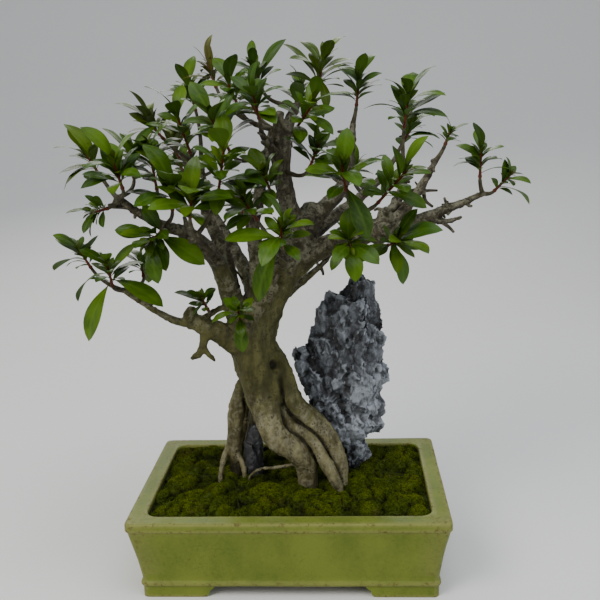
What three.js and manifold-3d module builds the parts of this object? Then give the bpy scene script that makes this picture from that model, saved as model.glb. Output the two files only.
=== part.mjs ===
// A root-over-rock bonsai tree in a rectangular glazed pot.
//
// Units are millimetres and +Z is up. The origin is the middle of the pot's footprint, on the
// surface that the pot stands on. +X is the viewer's right and -Y is the front of the tree.
// The tree, its rock and its moss are written from the planting point: the middle of the pot,
// level with the top of its rim.

import * as THREE from "three";
import { mergeVertices } from "three/addons/utils/BufferGeometryUtils.js";
import Module from "manifold-3d";

const wasm = await Module();
wasm.setup();

// ---------------------------------------------------------------- driving dimensions

// Pot
const POT_WIDTH = 264; // outside the rim, left to right
const POT_DEPTH = 174; // outside the rim, front to back
const POT_HEIGHT = 71; // from the table to the top of the rim
const RIM_WIDTH = 15; // flat top of the rim
const LIP_HEIGHT = 8; // band that stands proud under the rim
const LIP_PROUD = 1.2; // how far that band stands out from the wall
const WALL_TAPER = 8.3; // how much further in the wall is at its foot
const MOULDING_HEIGHT = 5; // bead round the foot of the wall
const MOULDING_PROUD = 1.6;
const FLOOR_THICKNESS = 8;
const OUTER_CORNER_R = 5;
const INNER_CORNER_R = 11;
const FOOT_HEIGHT = 10;
const FOOT_WIDTH = 13; // thickness of a foot, measured in from the pot's side
const FOOT_LENGTH = 56; // along the front, from the corner
const FOOT_SIDE_LENGTH = 42; // along the side, from the corner
const FOOT_SET_BACK = 1.5; // from the bead to the foot's face
const DRAIN_HOLE_R = 10;
const DRAIN_SPACING = 124; // between the two drain holes

// Drain screens
const SCREEN_SIZE = 32;
const SCREEN_THICKNESS = 1.2;
const SCREEN_HOLES = 3; // along each side
const SCREEN_BAR = 2.2;
const CLIP_WIRE_R = 0.8;
const CLIP_SPAN = 14; // between the two legs of the wire clip

// Soil and moss
const SOIL_EDGE_DROP = 7; // from the rim's top down to the soil at the pot's wall
const SOIL_CROWN = 5; // how much higher the soil is in the middle
const MOSS_THICKNESS = 6;
const MOSS_SEAM = 1.2; // gap between one moss mat and the next
const MOSS_COLUMNS = 3;
const MOSS_ROWS = 2;

// Tree and rock
const GIRTH = 1; // scales every limb's and root's thickness
const TWIG_ROOT_R = 2.1; // a twig where it leaves its limb
const TWIG_TIP_R = 1.25; // a twig where its leafy shoot starts
const SHOOT_TIP_R = 0.8;
const LEAF_LENGTH = 32;
const LEAF_WIDTH_SHARE = 0.43; // of the leaf's length
const LEAF_THICKNESS = 1;
const CLEARANCE = 0.3; // between one piece and the next
const BUD_GAP = 0.8; // between a twig's end and its shoot, which meet at a slight angle
const SMALLEST_DETAIL = 0.2; // facets finer than this are merged on grown surfaces

// ---------------------------------------------------------------- solids

const toSolid = (geometry) => {
  const bare = geometry.clone();
  bare.deleteAttribute("normal");
  bare.deleteAttribute("uv");
  const merged = mergeVertices(bare, 1e-4);
  return new wasm.Manifold(
    new wasm.Mesh({
      numProp: 3,
      vertProperties: merged.attributes.position.array,
      triVerts: new Uint32Array(merged.index.array),
    }),
  );
};

const toGeometry = (solid) => {
  const mesh = solid.getMesh();
  return new THREE.BufferGeometry()
    .setAttribute("position", new THREE.BufferAttribute(mesh.vertProperties, 3))
    .setIndex(new THREE.BufferAttribute(mesh.triVerts, 1));
};

const union = (solids) => solids.reduce((sum, solid) => sum.add(solid));

// The largest connected body of a solid, without the crumbs that a cut leaves.
const largestBody = (solid) =>
  solid.decompose().reduce((best, body) => (body.volume() > best.volume() ? body : best));

// A closed body through rings of points with equal counts, capped flat at both ends.
// Each ring runs anticlockwise when it is seen from the next ring.
function loft(rings) {
  const count = rings[0].length;
  const middle = (ring) =>
    ring.reduce((sum, p) => sum.add(p), new THREE.Vector3()).divideScalar(count);
  const points = [...rings.flat(), middle(rings[0]), middle(rings.at(-1))];
  const startCap = rings.length * count;
  const index = [];
  rings.slice(1).forEach((_, r) => {
    for (let i = 0; i < count; i++) {
      const [a, b] = [r * count + i, r * count + ((i + 1) % count)];
      index.push(a, b, a + count, b, b + count, a + count);
    }
  });
  for (let i = 0; i < count; i++) {
    const next = (i + 1) % count;
    const last = startCap - count;
    index.push(startCap, next, i, startCap + 1, last + i, last + next);
  }
  return toSolid(new THREE.BufferGeometry().setFromPoints(points).setIndex(index));
}

// A round-cornered rectangle of points at one height, anticlockwise from above.
function roundedRectangle(halfX, halfY, cornerR, z) {
  const perCorner = 4;
  const points = [];
  for (let corner = 0; corner < 4; corner++) {
    const start = (corner * Math.PI) / 2;
    const sideX = corner === 0 || corner === 3 ? 1 : -1;
    const sideY = corner < 2 ? 1 : -1;
    for (let i = 0; i < perCorner; i++) {
      const angle = start + (i / (perCorner - 1)) * (Math.PI / 2);
      points.push(
        new THREE.Vector3(
          sideX * (halfX - cornerR) + cornerR * Math.cos(angle),
          sideY * (halfY - cornerR) + cornerR * Math.sin(angle),
          z,
        ),
      );
    }
  }
  return points;
}

// A tube along a smooth curve through [x, y, z, radius] stations.
function taperedTube(stations, { sides, grow = 0, girth = GIRTH }) {
  const curve = new THREE.CatmullRomCurve3(
    stations.map(([x, y, z]) => new THREE.Vector3(x, y, z)),
    false,
    "centripetal",
  );
  const spans = stations.length - 1;
  const frames = curve.computeFrenetFrames(spans, false);
  const rings = [];
  for (let s = 0; s <= spans; s++) {
    const centre = curve.getPointAt(s / spans);
    const along = curve.getUtoTmapping(s / spans) * spans;
    const span = Math.min(Math.floor(along), spans - 1);
    const radius =
      girth * THREE.MathUtils.lerp(stations[span][3], stations[span + 1][3], along - span) + grow;
    const ring = [];
    for (let i = 0; i < sides; i++) {
      const angle = (2 * Math.PI * i) / sides;
      ring.push(
        centre
          .clone()
          .addScaledVector(frames.normals[s], radius * Math.cos(angle))
          .addScaledVector(frames.binormals[s], radius * Math.sin(angle)),
      );
    }
    rings.push(ring);
  }
  return loft(rings);
}

const prism = (shape, depth) =>
  toSolid(new THREE.ExtrudeGeometry(shape, { depth, bevelEnabled: false }));

const box = (sizeX, sizeY, sizeZ, x, y, z) =>
  toSolid(new THREE.BoxGeometry(sizeX, sizeY, sizeZ).translate(x, y, z));

// A repeatable number from 0 to 1 for a seed.
const chance = (seed) => {
  const wave = Math.sin(seed * 127.1 + 311.7) * 43758.5453;
  return wave - Math.floor(wave);
};

// ---------------------------------------------------------------- materials

const material = (color, roughness) =>
  new THREE.MeshStandardMaterial({ color, roughness, metalness: 0 });

const GLAZE = material(0x93a344, 0.25);
const SCREEN = material(0x23241f, 0.7);
const WIRE = new THREE.MeshStandardMaterial({ color: 0x8d8f90, roughness: 0.4, metalness: 1 });
const SOIL = material(0x3a2c1e, 1);
const MOSS = material(0x47611a, 1);
const BARK = material(0x6f6648, 0.85);
const ROCK = material(0x6b7480, 0.9);
const LEAF = material(0x2f6a12, 0.35);

// ---------------------------------------------------------------- pot

const half = { x: POT_WIDTH / 2, y: POT_DEPTH / 2 };
const wallTop = POT_HEIGHT - LIP_HEIGHT;
const floorTop = FOOT_HEIGHT + FLOOR_THICKNESS;
const wallFoot = LIP_PROUD + WALL_TAPER;
const beadInset = wallFoot - MOULDING_PROUD;
const footInset = beadInset + FOOT_SET_BACK;

// One level of the pot: how far in from the rim's outline, its height and its corner radius.
const potRing = (inset, z, cornerR) =>
  roundedRectangle(half.x - inset, half.y - inset, cornerR, z);

function makePotBody() {
  const [lipR, edgeR] = [2, 2];
  const outside = [
    [beadInset + 1.2, FOOT_HEIGHT],
    [beadInset, FOOT_HEIGHT + 1.2],
    [beadInset, FOOT_HEIGHT + MOULDING_HEIGHT - 1.2],
    [beadInset + MOULDING_PROUD, FOOT_HEIGHT + MOULDING_HEIGHT],
    [LIP_PROUD, wallTop],
    [0.6, wallTop + 0.8],
    [0, wallTop + 2.4],
    [0, POT_HEIGHT - lipR],
    [lipR * 0.3, POT_HEIGHT - lipR * 0.3],
    [lipR, POT_HEIGHT],
  ].map(([inset, z]) => potRing(inset, z, OUTER_CORNER_R));
  const inside = [
    [RIM_WIDTH - edgeR, POT_HEIGHT],
    [RIM_WIDTH - edgeR * 0.3, POT_HEIGHT - edgeR * 0.3],
    [RIM_WIDTH, POT_HEIGHT - edgeR],
    [RIM_WIDTH, floorTop],
  ].map(([inset, z]) => potRing(inset, z, INNER_CORNER_R));
  return loft([...outside, ...inside]);
}

// The hollow under a straight side of the foot ring: an arch with ogee ends, pushed right through.
function footArch(length, through) {
  const curve = FOOT_HEIGHT * 0.45;
  const shape = new THREE.Shape();
  shape.moveTo(-length / 2 - curve, -1);
  shape.lineTo(-length / 2 - curve, 0.5);
  shape.quadraticCurveTo(-length / 2, 0.5, -length / 2, FOOT_HEIGHT * 0.55);
  shape.lineTo(-length / 2 + curve, FOOT_HEIGHT);
  shape.lineTo(length / 2 - curve, FOOT_HEIGHT);
  shape.lineTo(length / 2, FOOT_HEIGHT * 0.55);
  shape.quadraticCurveTo(length / 2, 0.5, length / 2 + curve, 0.5);
  shape.lineTo(length / 2 + curve, -1);
  const arch = new THREE.ExtrudeGeometry(shape, {
    depth: through,
    bevelEnabled: false,
    curveSegments: 4,
  });
  return arch.translate(0, 0, -through / 2).rotateX(Math.PI / 2);
}

function makeFeet() {
  const bury = 1;
  const ringBody = (inset, low, high, cornerR) =>
    loft([potRing(inset, low, cornerR), potRing(inset, high, cornerR)]);
  const skirt = ringBody(footInset, 0, FOOT_HEIGHT + bury, OUTER_CORNER_R).subtract(
    ringBody(footInset + FOOT_WIDTH, -1, FOOT_HEIGHT + bury + 1, OUTER_CORNER_R),
  );
  const frontArch = footArch(POT_WIDTH - 2 * (footInset + FOOT_LENGTH), 2 * POT_DEPTH);
  const sideArch = footArch(POT_DEPTH - 2 * (footInset + FOOT_SIDE_LENGTH), 2 * POT_WIDTH);
  return skirt.subtract(toSolid(frontArch)).subtract(toSolid(sideArch.rotateZ(Math.PI / 2)));
}

const drainCentres = [-1, 1].map((side) => (side * DRAIN_SPACING) / 2);

const drainHole = (x, radius) => {
  const [low, high] = [FOOT_HEIGHT - 2, floorTop + 2];
  const cylinder = new THREE.CylinderGeometry(radius, radius, high - low, 16);
  return toSolid(cylinder.rotateX(Math.PI / 2).translate(x, 0, (low + high) / 2));
};

const pot = drainCentres.reduce(
  (body, x) => body.subtract(drainHole(x, DRAIN_HOLE_R)),
  makePotBody().add(makeFeet()),
);

// ---------------------------------------------------------------- drain screens and clips

const screenLow = floorTop + CLEARANCE;
const screenTop = screenLow + SCREEN_THICKNESS;

// A flat plate with a square grid of holes.
function makeScreen(x) {
  const pitch = (SCREEN_SIZE - SCREEN_BAR) / SCREEN_HOLES;
  const z = screenLow + SCREEN_THICKNESS / 2;
  const offsets = Array.from({ length: SCREEN_HOLES }, (_, i) => (i - (SCREEN_HOLES - 1) / 2) * pitch);
  const hole = pitch - SCREEN_BAR;
  const holes = offsets.flatMap((across) =>
    offsets.map((along) => box(hole, hole, 2 * SCREEN_THICKNESS, x + across, along, z)),
  );
  return box(SCREEN_SIZE, SCREEN_SIZE, SCREEN_THICKNESS, x, 0, z).subtract(union(holes));
}

// A staple over the screen, with its legs down the drain hole and bent out under the floor.
function makeClip(x, grow = 0) {
  const over = screenTop + CLEARANCE + CLIP_WIRE_R;
  const under = FOOT_HEIGHT - CLEARANCE - CLIP_WIRE_R;
  const leg = CLIP_SPAN / 2;
  const bend = 2;
  const bentOut = DRAIN_HOLE_R + 4;
  const rightHalf = [
    [0, over],
    [leg - bend, over],
    [leg, over - bend],
    [leg, under + bend],
    [leg + bend, under],
    [bentOut, under],
  ];
  const leftHalf = rightHalf.slice(1).reverse().map(([d, z]) => [-d, z]);
  const line = [...leftHalf, ...rightHalf];
  const stations = line.map(([d, z]) => [x + d, 0, z, CLIP_WIRE_R]);
  return taperedTube(stations, { sides: 6, girth: 1, grow });
}

const screens = drainCentres.map((x) => makeScreen(x).subtract(makeClip(x, CLEARANCE)));
const clips = drainCentres.map((x) => makeClip(x));

// ---------------------------------------------------------------- tree

// Roots and limbs of the living wood, from the planting point: [x, y, z, radius] stations.
const WOOD = {
  trunk: [
    [-20, -4, 54, 11], [-19, -6, 76, 19.5], [-21, -7, 94, 21.5], [-27, -7, 112, 20.5],
    [-30, -6, 128, 19.5], [-27, -4, 144, 19], [-19, -2, 164, 17.5], [-8, 0, 180, 16],
    [3, 2, 196, 15], [11, 4, 210, 13.5], [18, 6, 226, 11], [24, 8, 240, 8.5],
  ],

  front_root: [
    [-21, -6, 110, 10], [-20, -14, 92, 12], [-18, -18, 76, 12], [-17, -22, 64, 12],
    [-14, -25, 54, 11.5], [-7, -27, 46, 11.5], [3, -27, 39, 11], [10, -25, 30, 10.5],
    [14, -23, 20, 9.5], [15, -21, 6, 9], [15, -20, -10, 7],
  ],
  right_root: [
    [-18, -6, 122, 10], [-8, -10, 106, 9.5], [-3, -13, 94, 9], [1, -14, 83, 8.5], [7, -15, 72, 8.5],
    [17, -15, 62, 9], [27, -15, 51, 9], [34, -16, 41, 8.5], [39, -17, 31, 7.5], [43, -19, 20, 6.5],
    [44, -21, 8, 5.5], [46, -22, -8, 4.5],
  ],
  middle_root: [
    [-12, -10, 86, 5], [-7, -14, 76, 5.5], [-4, -16, 66, 6], [1, -19, 58, 6], [8, -21, 53, 6],
    [17, -23, 46, 6], [24, -25, 38, 6], [29, -27, 28, 5.5], [35, -29, 18, 5.5], [40, -31, 8, 4.5],
    [44, -31, -8, 3.5],
  ],
  left_root: [
    [-32, -6, 108, 9], [-37, -5, 94, 7.5], [-41, -4, 84, 7], [-45, -4, 72, 7.5], [-48, -3, 58, 7.5],
    [-50, -1, 42, 7], [-51, 1, 26, 6.5], [-50, 3, 10, 6], [-49, 4, -8, 5],
  ],
  left_rootlet: [[-55, -1, 32, 3.5], [-60, -4, 21, 2.8], [-63, -8, 8, 2.2], [-64, -10, -6, 1.8]],
  inner_rootlet: [[-50, 0, 26, 3.2], [-44, -6, 17, 2.6], [-42, -10, 8, 2.2], [-41, -12, -6, 1.8]],
  arching_rootlet: [
    [-40, -13, -4, 1.5], [-36, -14, 8, 1.7], [-27, -16, 15, 1.9], [-14, -20, 18, 2], [4, -22, 22, 2],
  ],
  inner_root: [[-24, 4, 80, 10], [-30, 10, 60, 8], [-34, 14, 40, 7], [-38, 15, 20, 6.5], [-40, 15, -8, 5]],
  back_left_root: [
    [-30, 6, 92, 12], [-38, 18, 72, 10], [-44, 30, 50, 9], [-48, 40, 30, 8],
    [-52, 48, 10, 7], [-54, 52, -8, 5],
  ],
  back_middle_root: [
    [-16, 6, 90, 12], [-14, 20, 72, 10], [-10, 32, 52, 8.5], [-8, 42, 32, 7.5],
    [-8, 52, 12, 6.5], [-9, 58, -8, 4.5],
  ],

  left_limb: [
    [-30, -8, 120, 12], [-38, -12, 142, 10.5], [-44, -16, 166, 9], [-50, -18, 188, 7.5],
    [-57, -21, 205, 6.8], [-67, -25, 219, 6.2], [-80, -29, 228, 5.2], [-95, -34, 234, 4.2],
    [-107, -39, 242, 3.6], [-118, -42, 250, 2.9], [-127, -44, 258, 2.2],
  ],
  left_back_limb: [
    [-36, -2, 128, 9], [-44, 0, 164, 7], [-51, 5, 198, 6], [-59, 8, 220, 5.2],
    [-67, 11, 236, 4.2], [-67, 15, 256, 3.2], [-70, 18, 276, 2.4],
  ],
  low_left_limb: [
    [-34, -9, 124, 13], [-46, -15, 134, 11], [-57, -22, 142, 9], [-67, -27, 148, 7.5],
    [-76, -30, 154, 6], [-84, -32, 153, 3.8], [-99, -34, 160, 2.8], [-116, -34, 171, 2.4],
    [-131, -32, 181, 2],
  ],
  low_left_knob: [[-76, -29, 149, 5], [-77, -30, 157, 6.5], [-76, -30, 164, 4]],
  hanging_stub: [[-66, -26, 144, 4.5], [-69, -27, 132, 3.6], [-72, -28, 125, 3], [-79, -29, 121, 1.8]],
  hanging_spur: [[-69, -27, 131, 3], [-65, -27, 124, 2.2], [-60, -26, 118, 1.3]],
  cross_twig: [[-72, -28, 152, 3.4], [-62, -27, 158, 2.6], [-52, -24, 163, 2.4], [-44, -18, 162, 2.6]],
  middle_limb: [
    [-22, -8, 160, 10], [-22, -14, 186, 7], [-22, -17, 206, 6.2], [-24, -19, 230, 5.6],
    [-19, -18, 248, 4.8], [-15, -16, 268, 4.2], [-10, -12, 290, 3.2], [-7, -8, 306, 2.4],
  ],
  apex_limb: [
    [10, 4, 206, 12], [8, 2, 226, 9.5], [3, 0, 250, 7.6], [0, -2, 274, 7],
    [2, 0, 296, 6], [7, 2, 312, 4.4], [14, 3, 324, 2.8],
  ],
  apex_stub: [[0, -2, 276, 5.5], [-2, -5, 300, 4.8], [0, -7, 318, 3.6]],
  right_limb: [
    [8, 3, 192, 11], [28, -3, 206, 9], [50, -8, 215, 8.4], [70, -9, 221, 9],
    [88, -6, 225, 8], [104, -1, 227, 5.4], [122, 4, 232, 4.4], [140, 8, 238, 3.8],
    [154, 10, 243, 3], [165, 11, 248, 2.2],
  ],
  right_knob: [[76, -10, 214, 6], [84, -9, 226, 9.5], [83, -8, 238, 5]],
  right_cut_spur: [[118, 3, 230, 3.4], [134, 6, 226, 2.4], [148, 9, 229, 1.4]],
  right_upper_limb: [
    [86, -6, 226, 5.4], [98, -8, 237, 4.3], [108, -10, 250, 3.7], [117, -12, 265, 3.1],
    [124, -13, 278, 2.4],
  ],
  right_dark_limb: [[80, -2, 226, 5.5], [92, 4, 240, 4.5], [98, 8, 252, 3.6], [101, 10, 264, 2.6]],
  dead_twig: [[97, 7, 249, 2.6], [108, 8, 247, 2], [118, 8, 253, 1.2]],
  centre_right_limb: [
    [16, 6, 222, 9], [32, 9, 238, 7.4], [46, 12, 252, 6], [54, 14, 272, 4.6],
    [57, 15, 292, 3.6], [59, 16, 308, 2.6],
  ],
  centre_stub: [[55, 14, 274, 2.8], [48, 12, 288, 2], [45, 11, 296, 1.3]],
  low_right_limb: [[0, 8, 168, 5], [12, 20, 174, 3.4], [24, 30, 182, 2.8], [34, 36, 190, 2.2]],
  back_left_limb: [
    [-22, 4, 150, 10], [-32, 24, 172, 7.5], [-46, 44, 194, 6], [-60, 58, 216, 4.6],
    [-74, 68, 238, 3.2], [-84, 74, 254, 2.2],
  ],
  back_right_limb: [
    [8, 8, 200, 9], [24, 30, 216, 7], [46, 46, 230, 5.4], [68, 60, 244, 4.2],
    [88, 70, 262, 3], [98, 76, 276, 2],
  ],
  back_top_limb: [[6, 4, 228, 7], [2, 26, 252, 5.6], [0, 42, 276, 4.4], [4, 54, 298, 3.2]],
  front_limb: [[-4, -8, 184, 8], [-2, -30, 196, 5.4], [2, -50, 206, 4], [3, -64, 212, 2.6]],
  front_right_limb: [[40, -10, 212, 6], [50, -30, 222, 4.6], [56, -46, 232, 3.4], [60, -58, 242, 2.4]],
  front_left_limb: [[-50, -20, 196, 5], [-54, -38, 208, 3.8], [-60, -52, 220, 3], [-64, -58, 228, 2.2]],
  front_top_limb: [[-1, -4, 280, 4.6], [-6, -24, 292, 3.4], [-12, -38, 304, 2.4]],
};

// Leafy shoots: the limb that each twig leaves, where its shoot starts, which way it points,
// how many leaves it grows by itself, and the ends of leaves that are placed one by one.
const SHOOTS = [
  // low branch at the far left
  { limb: "low_left_limb", at: [-160, -20, 198], aim: [-5, 1, 8], leaves: 3, size: 0.7,
    ends: [[-32, 14, 24], [-38, 18, -5], [10, -6, 28]] },
  { limb: "low_left_limb", at: [-138, -38, 186], aim: [0, -3, 6], leaves: 3, size: 0.85,
    ends: [[-20, -14, -42], [44, -16, -14], [22, 2, 34], [28, -4, 20], [-32, 4, -12]] },
  { limb: "low_left_limb", at: [-116, -22, 190], aim: [-2, 5, 6], leaves: 5, size: 0.8, ends: [] },
  { limb: "cross_twig", at: [-62, -34, 164], aim: [-2, -3, 6], leaves: 2, size: 0.6,
    ends: [[-24, -12, 18], [-12, -4, -4]] },
  // left limb
  { limb: "left_limb", at: [-144, -26, 274], aim: [-5, 1, 8], leaves: 4, size: 0.9,
    ends: [[-26, 4, 42], [-36, 8, 2], [-32, 2, -10], [-4, -10, 34]] },
  { limb: "left_limb", at: [-118, -58, 266], aim: [-1, -4, 8], leaves: 6, size: 1.05,
    ends: [[-12, -6, 34], [14, -4, 32]] },
  { limb: "left_limb", at: [-118, -21, 271], aim: [-1, 3, 8], leaves: 7, size: 0.9, ends: [[-8, 0, 36]] },
  { limb: "left_limb", at: [-134, -46, 250], aim: [-8, -2, -2], leaves: 3, size: 0.7,
    ends: [[-16, 0, -22]] },
  { limb: "left_limb", at: [-92, -48, 232], aim: [-3, -6, -3], leaves: 3, size: 0.95,
    ends: [[4, -14, -30], [34, -10, -26], [-36, -6, 2]] },
  { limb: "left_limb", at: [-82, -52, 248], aim: [1, -4, 8], leaves: 4, size: 1.25,
    ends: [[-8, -6, 42], [16, -8, 38], [4, -10, 46]] },
  { limb: "left_limb", at: [-98, -30, 262], aim: [-1, 0, 8], long: true, leaves: 9, size: 0.95, ends: [] },
  { limb: "left_back_limb", at: [-74, -4, 288], aim: [-2, -2, 8], long: true, leaves: 9, size: 0.9,
    ends: [] },
  { limb: "left_back_limb", at: [-98, 8, 300], aim: [-6, 0, 7], leaves: 6, size: 1,
    ends: [[-28, 2, 22]] },
  { limb: "left_back_limb", at: [-72, 20, 322], aim: [-2, 1, 8], leaves: 6, size: 1, ends: [[-18, 0, 22]] },
  { limb: "left_back_limb", at: [-92, 40, 282], aim: [-5, 5, 6], leaves: 7, size: 1, ends: [] },
  // front left
  { limb: "front_left_limb", at: [-66, -66, 244], aim: [2, -5, 7], leaves: 5, size: 1.15,
    ends: [[-16, -6, 24], [14, -6, 30]] },
  { limb: "front_left_limb", at: [-44, -62, 262], aim: [2, -4, 8], long: true, leaves: 9, size: 1,
    ends: [] },
  { limb: "middle_limb", at: [-36, -42, 290], aim: [-3, -4, 7], long: true, leaves: 9, size: 1, ends: [] },
  { limb: "middle_limb", at: [-30, -20, 322], aim: [-3, -2, 8], leaves: 7, size: 0.9,
    ends: [[-26, -6, 12]] },
  { limb: "middle_limb", at: [-52, 8, 340], aim: [-3, 2, 8], leaves: 4, size: 0.85,
    ends: [[-6, 2, 38], [-28, 0, 8], [-16, 4, 22]] },
  // crown
  { limb: "apex_limb", at: [-13, -7, 337], aim: [-3, -1, 8], leaves: 5, size: 0.85,
    ends: [[-12, 0, 26], [20, 0, 38]] },
  { limb: "apex_limb", at: [30, 4, 334], aim: [2, 0, 8], leaves: 5, size: 1.15,
    ends: [[-26, -4, 38], [38, -4, 14], [30, 2, 22], [8, -6, -14]] },
  { limb: "front_top_limb", at: [-12, -50, 315], aim: [-1, -5, 7], leaves: 8, size: 0.95, ends: [] },
  { limb: "apex_stub", at: [14, -32, 306], aim: [4, -5, 5], long: true, leaves: 8, size: 0.95, ends: [] },
  { limb: "apex_limb", at: [-6, -40, 258], aim: [-2, -5, 7], leaves: 8, size: 0.8, ends: [] },
  { limb: "apex_limb", at: [24, -28, 276], aim: [3, -4, 7], leaves: 8, size: 0.8, ends: [] },
  { limb: "back_top_limb", at: [-24, 50, 318], aim: [-4, 4, 7], leaves: 7, size: 1, ends: [] },
  { limb: "back_top_limb", at: [10, 62, 320], aim: [2, 5, 7], leaves: 8, size: 1, ends: [] },
  // front
  { limb: "front_limb", at: [4, -74, 222], aim: [0, -5, 6], leaves: 3, size: 1,
    ends: [[-18, -14, -40], [-42, -12, 8], [8, -12, 30]] },
  { limb: "front_limb", at: [-16, -60, 240], aim: [-3, -4, 6], leaves: 8, size: 0.9, ends: [] },
  { limb: "trunk", at: [-34, -48, 160], aim: [0, -5, 4], leaves: 2, size: 0.8,
    ends: [[2, -10, -26], [-12, -4, 18]] },
  { limb: "front_right_limb", at: [52, -70, 262], aim: [-1, -5, 7], leaves: 4, size: 1.1,
    ends: [[16, -8, -36], [-30, -4, 12], [-4, -8, 34], [28, -4, 22]] },
  { limb: "front_right_limb", at: [76, -54, 250], aim: [5, -4, 6], long: true, leaves: 9, size: 0.9,
    ends: [] },
  { limb: "front_right_limb", at: [54, -62, 222], aim: [0, -6, 0], leaves: 7, size: 0.85, ends: [] },
  { limb: "low_right_limb", at: [38, 30, 196], aim: [3, -3, 4], leaves: 7, size: 0.7, ends: [] },
  // right
  { limb: "right_limb", at: [84, -36, 214], aim: [3, -6, 2], leaves: 4, size: 0.95,
    ends: [[40, -24, 16], [-26, -10, -12], [12, -8, -30]] },
  { limb: "centre_right_limb", at: [62, 18, 322], aim: [1, 1, 8], leaves: 8, size: 0.9, ends: [] },
  { limb: "right_dark_limb", at: [100, 2, 304], aim: [1, -1, 8], leaves: 6, size: 0.95,
    ends: [[-10, 0, 34], [32, -4, 26], [34, -6, 8], [-32, -2, 16]] },
  { limb: "right_upper_limb", at: [131, -14, 290], aim: [3, 0, 8], leaves: 2, size: 0.55,
    ends: [[18, -2, 16]] },
  { limb: "right_limb", at: [162, 6, 262], aim: [0, -1, 8], leaves: 5, size: 0.8,
    ends: [[-8, 0, 26], [12, 0, 28], [-22, 0, 10]] },
  { limb: "right_limb", at: [174, 8, 250], aim: [4, 0, 4], leaves: 3, size: 0.5,
    ends: [[26, -18, -8], [8, -2, 26], [26, -18, 8], [18, 4, 20]] },
  // back
  { limb: "back_right_limb", at: [104, 76, 288], aim: [4, 3, 6], leaves: 7, size: 1, ends: [] },
  { limb: "back_right_limb", at: [60, 76, 258], aim: [1, 6, 4], leaves: 7, size: 1, ends: [] },
  { limb: "back_left_limb", at: [-92, 78, 262], aim: [-5, 3, 6], leaves: 7, size: 1, ends: [] },
  { limb: "back_left_limb", at: [-44, 74, 228], aim: [0, 6, 4], leaves: 7, size: 1, ends: [] },
];

// ---------------------------------------------------------------- wood

const vector = (values) => new THREE.Vector3(...values);

// The limb's own station nearest to a point, as [x, y, z, radius].
const nearestStation = (limb, point) =>
  WOOD[limb].reduce((best, station) =>
    vector(station.slice(0, 3)).distanceTo(point) < vector(best.slice(0, 3)).distanceTo(point)
      ? station
      : best,
  );

// The twig that carries a shoot: it leaves its limb and swings round to the shoot's direction.
function twigStations({ limb, at, aim }) {
  const end = vector(at);
  const [x, y, z, limbRadius] = nearestStation(limb, end);
  const start = new THREE.Vector3(x, y, z);
  const reach = start.distanceTo(end);
  const swing = end.clone().addScaledVector(vector(aim).normalize(), -0.45 * reach);
  const curve = new THREE.QuadraticBezierCurve3(start, swing, end);
  const rootR = Math.min(TWIG_ROOT_R, limbRadius);
  return curve
    .getPoints(2)
    .map((p, i) => [p.x, p.y, p.z, THREE.MathUtils.lerp(rootR, TWIG_TIP_R, i / 2)]);
}

const TRUNK_SIDES = 10;
const LIMB_SIDES = 6;
const TWIG_SIDES = 4;

// Every root, limb and twig in one body. grow thickens them all, to cut room for them elsewhere.
function makeWood(names, grow = 0) {
  return union(
    names.map((name) => {
      const thick = Math.max(...WOOD[name].map((station) => station[3]));
      let sides = LIMB_SIDES;
      if (thick > 12) sides = TRUNK_SIDES;
      if (thick < 5) sides = TWIG_SIDES;
      return taperedTube(WOOD[name], { sides, grow });
    }),
  );
}

const twigs = SHOOTS.map((shoot) =>
  taperedTube(twigStations(shoot), { sides: TWIG_SIDES, girth: 1 }),
);
const wood = makeWood(Object.keys(WOOD)).add(union(twigs)).simplify(SMALLEST_DETAIL);
const rootNames = Object.keys(WOOD).filter((name) => /root|trunk/.test(name));
const rootRoom = makeWood(rootNames, CLEARANCE + SMALLEST_DETAIL).simplify(SMALLEST_DETAIL);

// ---------------------------------------------------------------- rock

// Outlines of the standing stone: height, left, right, front, back, from the planting point.
const ROCK_LEVELS = [
  [-8, 34, 64, 12, 44], [8, 36, 68, 8, 48], [22, 38, 67, 8, 50], [29, 27, 66, 6, 52],
  [36, 22, 79, 4, 54], [46, 18, 84, 4, 56], [57, 14, 86, 3, 56], [66, 13, 79, 5, 55],
  [76, 12, 80, 5, 55], [86, 7, 87, 6, 55], [96, 2, 86, 6, 54], [105, 1, 86, 8, 53],
  [112, 7, 85, 8, 52], [122, 16, 84, 9, 52], [136, 21, 83, 10, 50], [152, 33, 80, 12, 48],
  [164, 42, 78, 14, 46], [174, 51, 74, 17, 42], [180, 57, 68, 22, 36],
];
const ROCK_POINTS = 14;
const ROCK_ROUGHNESS = 0.24;

// Outlines of the small stone wedged between the roots.
const WEDGE_LEVELS = [
  [-6, -45, -27, -8, 4], [6, -46, -25, -9, 6], [18, -45, -24, -9, 7], [32, -43, -24, -8, 6],
  [44, -40, -26, -6, 4], [50, -36, -28, -4, 1],
];
const WEDGE_POINTS = 8;

// A stone through its levels, each one an uneven oval.
function makeStone(levels, count, roughness, seed) {
  const rings = levels.map(([z, left, right, front, back], level) => {
    const ring = [];
    for (let i = 0; i < count; i++) {
      const angle = (2 * Math.PI * i) / count;
      const broad = Math.abs(Math.cos(angle)) > 0.95 ? 0 : roughness;
      const dent = 1 - broad * chance(seed + level * count + i);
      ring.push(
        new THREE.Vector3(
          (left + right) / 2 + (dent * Math.cos(angle) * (right - left)) / 2,
          (front + back) / 2 + (dent * Math.sin(angle) * (back - front)) / 2,
          z,
        ),
      );
    }
    return ring;
  });
  return loft(rings);
}

const grown = (levels) =>
  levels.map(([z, left, right, front, back], i) => [
    z + (i === 0 ? -CLEARANCE : 0) + (i === levels.length - 1 ? CLEARANCE : 0),
    left - CLEARANCE,
    right + CLEARANCE,
    front - CLEARANCE,
    back + CLEARANCE,
  ]);

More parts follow.
